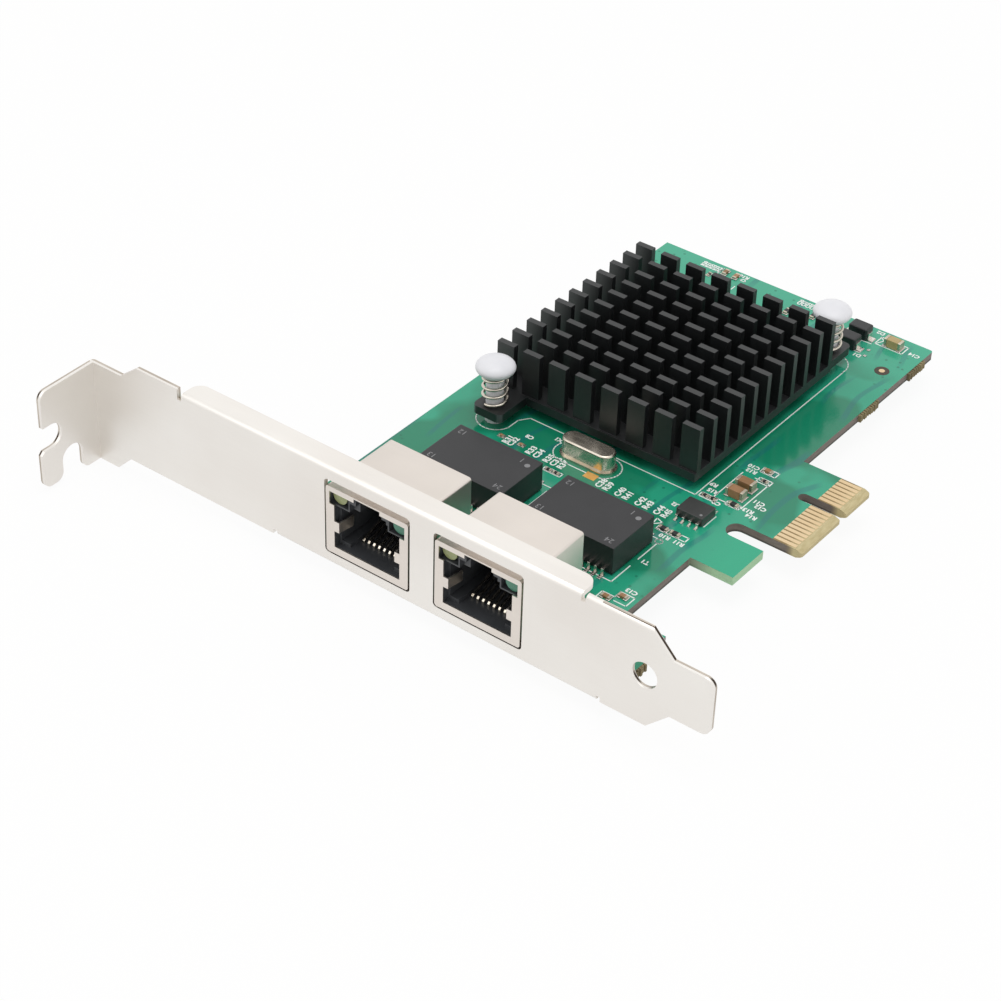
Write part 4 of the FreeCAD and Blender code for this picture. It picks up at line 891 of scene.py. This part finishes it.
for name, skirt, tallest in (("small_chip_ends", 0.2, 0.2), ("capacitor_ends", 0.22, 0.2),
                             ("power_diode_leads", 0.12, 0.07)):
    for low, high in loose_boxes(name):
        middle = ((low[0] + high[0]) / 2 / MM, (low[1] + high[1]) / 2 / MM)
        wide, long = (high[0] - low[0]) / MM + 2 * skirt, (high[1] - low[1]) / MM + 2 * skirt
        tall = min(0.4 * (high[2] - BOARD_HIGH) / MM, tallest)
        wedges.append(solder_wedge(middle, wide, long, tall))
for place in ((85.7, 99.8), (86.1, 97.9)):
    wedges.append(solder_wedge(place, 0.6, 0.6, 0.12))
print("pieces of solder:", len(wedges))
settle(join(wedges), "solder_on_pads", solder)

# %% [markdown]
# ## Solder under the jacks
# The jacks' pins pass through the board and are soldered from below. Each
# joint is a small cone with a blunt tip, and all its rims are rounded.

# %% Joints below the board
JOINT_WIDE_MM = 1.5
JOINT_TIP_MM = 0.6
JOINT_TALL_MM = 0.75
JACK_PIN_PITCH_MM = 1.27
PIN_ROWS_APART_MM = 2.54


def solder_joint(place):
    """A blunt cone of solder that hangs from the board's back."""
    bpy.ops.object.select_all(action="DESELECT")
    middle = (place[0] * MM, place[1] * MM, BOARD_LOW - JOINT_TALL_MM * MM / 2)
    bpy.ops.mesh.primitive_cone_add(vertices=16, location=middle, depth=JOINT_TALL_MM * MM,
                                    radius1=JOINT_TIP_MM * MM / 2, radius2=JOINT_WIDE_MM * MM / 2)
    joint = bpy.context.object
    bpy.ops.object.mode_set(mode="EDIT")
    bpy.ops.mesh.select_all(action="SELECT")
    bpy.ops.mesh.bevel(offset=0.12 * MM, segments=2)
    bpy.ops.object.mode_set(mode="OBJECT")
    return joint


joints_below = []
for hand in HANDS:
    low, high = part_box(f"{hand}_jack_shield")
    centre = (low[0] + high[0]) / 2 / MM
    back = high[1] / MM
    for pin in range(8):
        behind = back - 3.0 - PIN_ROWS_APART_MM * (pin % 2)
        joints_below.append(solder_joint((centre + JACK_PIN_PITCH_MM * (pin - 3.5), behind)))
    for side in (-1, 1):
        joints_below.append(solder_joint((centre + side * 7.75, back - 5.0)))
        for lamp_pin in (5.0, 6.9):
            joints_below.append(solder_joint((centre + side * lamp_pin, back - 1.2)))
print("joints below the board:", len(joints_below))
settle(join(joints_below), "solder_below_jacks", solder)

# %% [markdown]
# ## Snapped edges
# Boards are made many to a panel and broken apart where a row of small holes
# was drilled. What stays on the edge is a rough comb of brown stubs. Each
# stub is a block with its corners bevelled by its own small amount, so no two
# are alike; the random numbers start from a fixed seed. At the foot, the web
# left a nib of the varnished board as well.

# %% Rough stubs along the board's right edge
STUB_PITCH_MM = 0.6
STUB_ROWS = ((94.62, 98.3, 9), (94.62, 82.5, 10), (103.2, 4.6, 7))
SEED = 11
random.seed(SEED)


def stub(edge_x, along_y):
    """One broken stub of laminate, standing out from the sawn edge."""
    reach = random.uniform(0.5, 0.9)
    width = random.uniform(0.32, 0.52)
    thick = BOARD_THICK / MM * random.uniform(0.84, 0.98)
    turn = math.radians(random.uniform(-14, 14))
    corner = random.uniform(0.05, 0.12)
    return block((edge_x, along_y, middle_height / MM), (reach, width, thick), corner, turn)


stubs = []
for edge_x, first_y, count in STUB_ROWS:
    stubs += [stub(edge_x, first_y + STUB_PITCH_MM * i) for i in range(count)]
print("stubs:", len(stubs))
settle(join(stubs), "snapped_edge_stubs", snapped_glass)

# %% Nib at the foot
NIB_LEFT, NIB_RIGHT = 102.1, 103.15
NIB_NEAR, NIB_FAR = 4.4, 9.0

nib_middle = ((NIB_LEFT + NIB_RIGHT) / 2, (NIB_NEAR + NIB_FAR) / 2, middle_height / MM)
nib = block(nib_middle, (NIB_RIGHT - NIB_LEFT, NIB_FAR - NIB_NEAR, BOARD_THICK / MM), 0.1)
bpy.ops.object.transform_apply(location=True, rotation=True, scale=True)
settle(nib, "foot_edge_nib", mask_green)
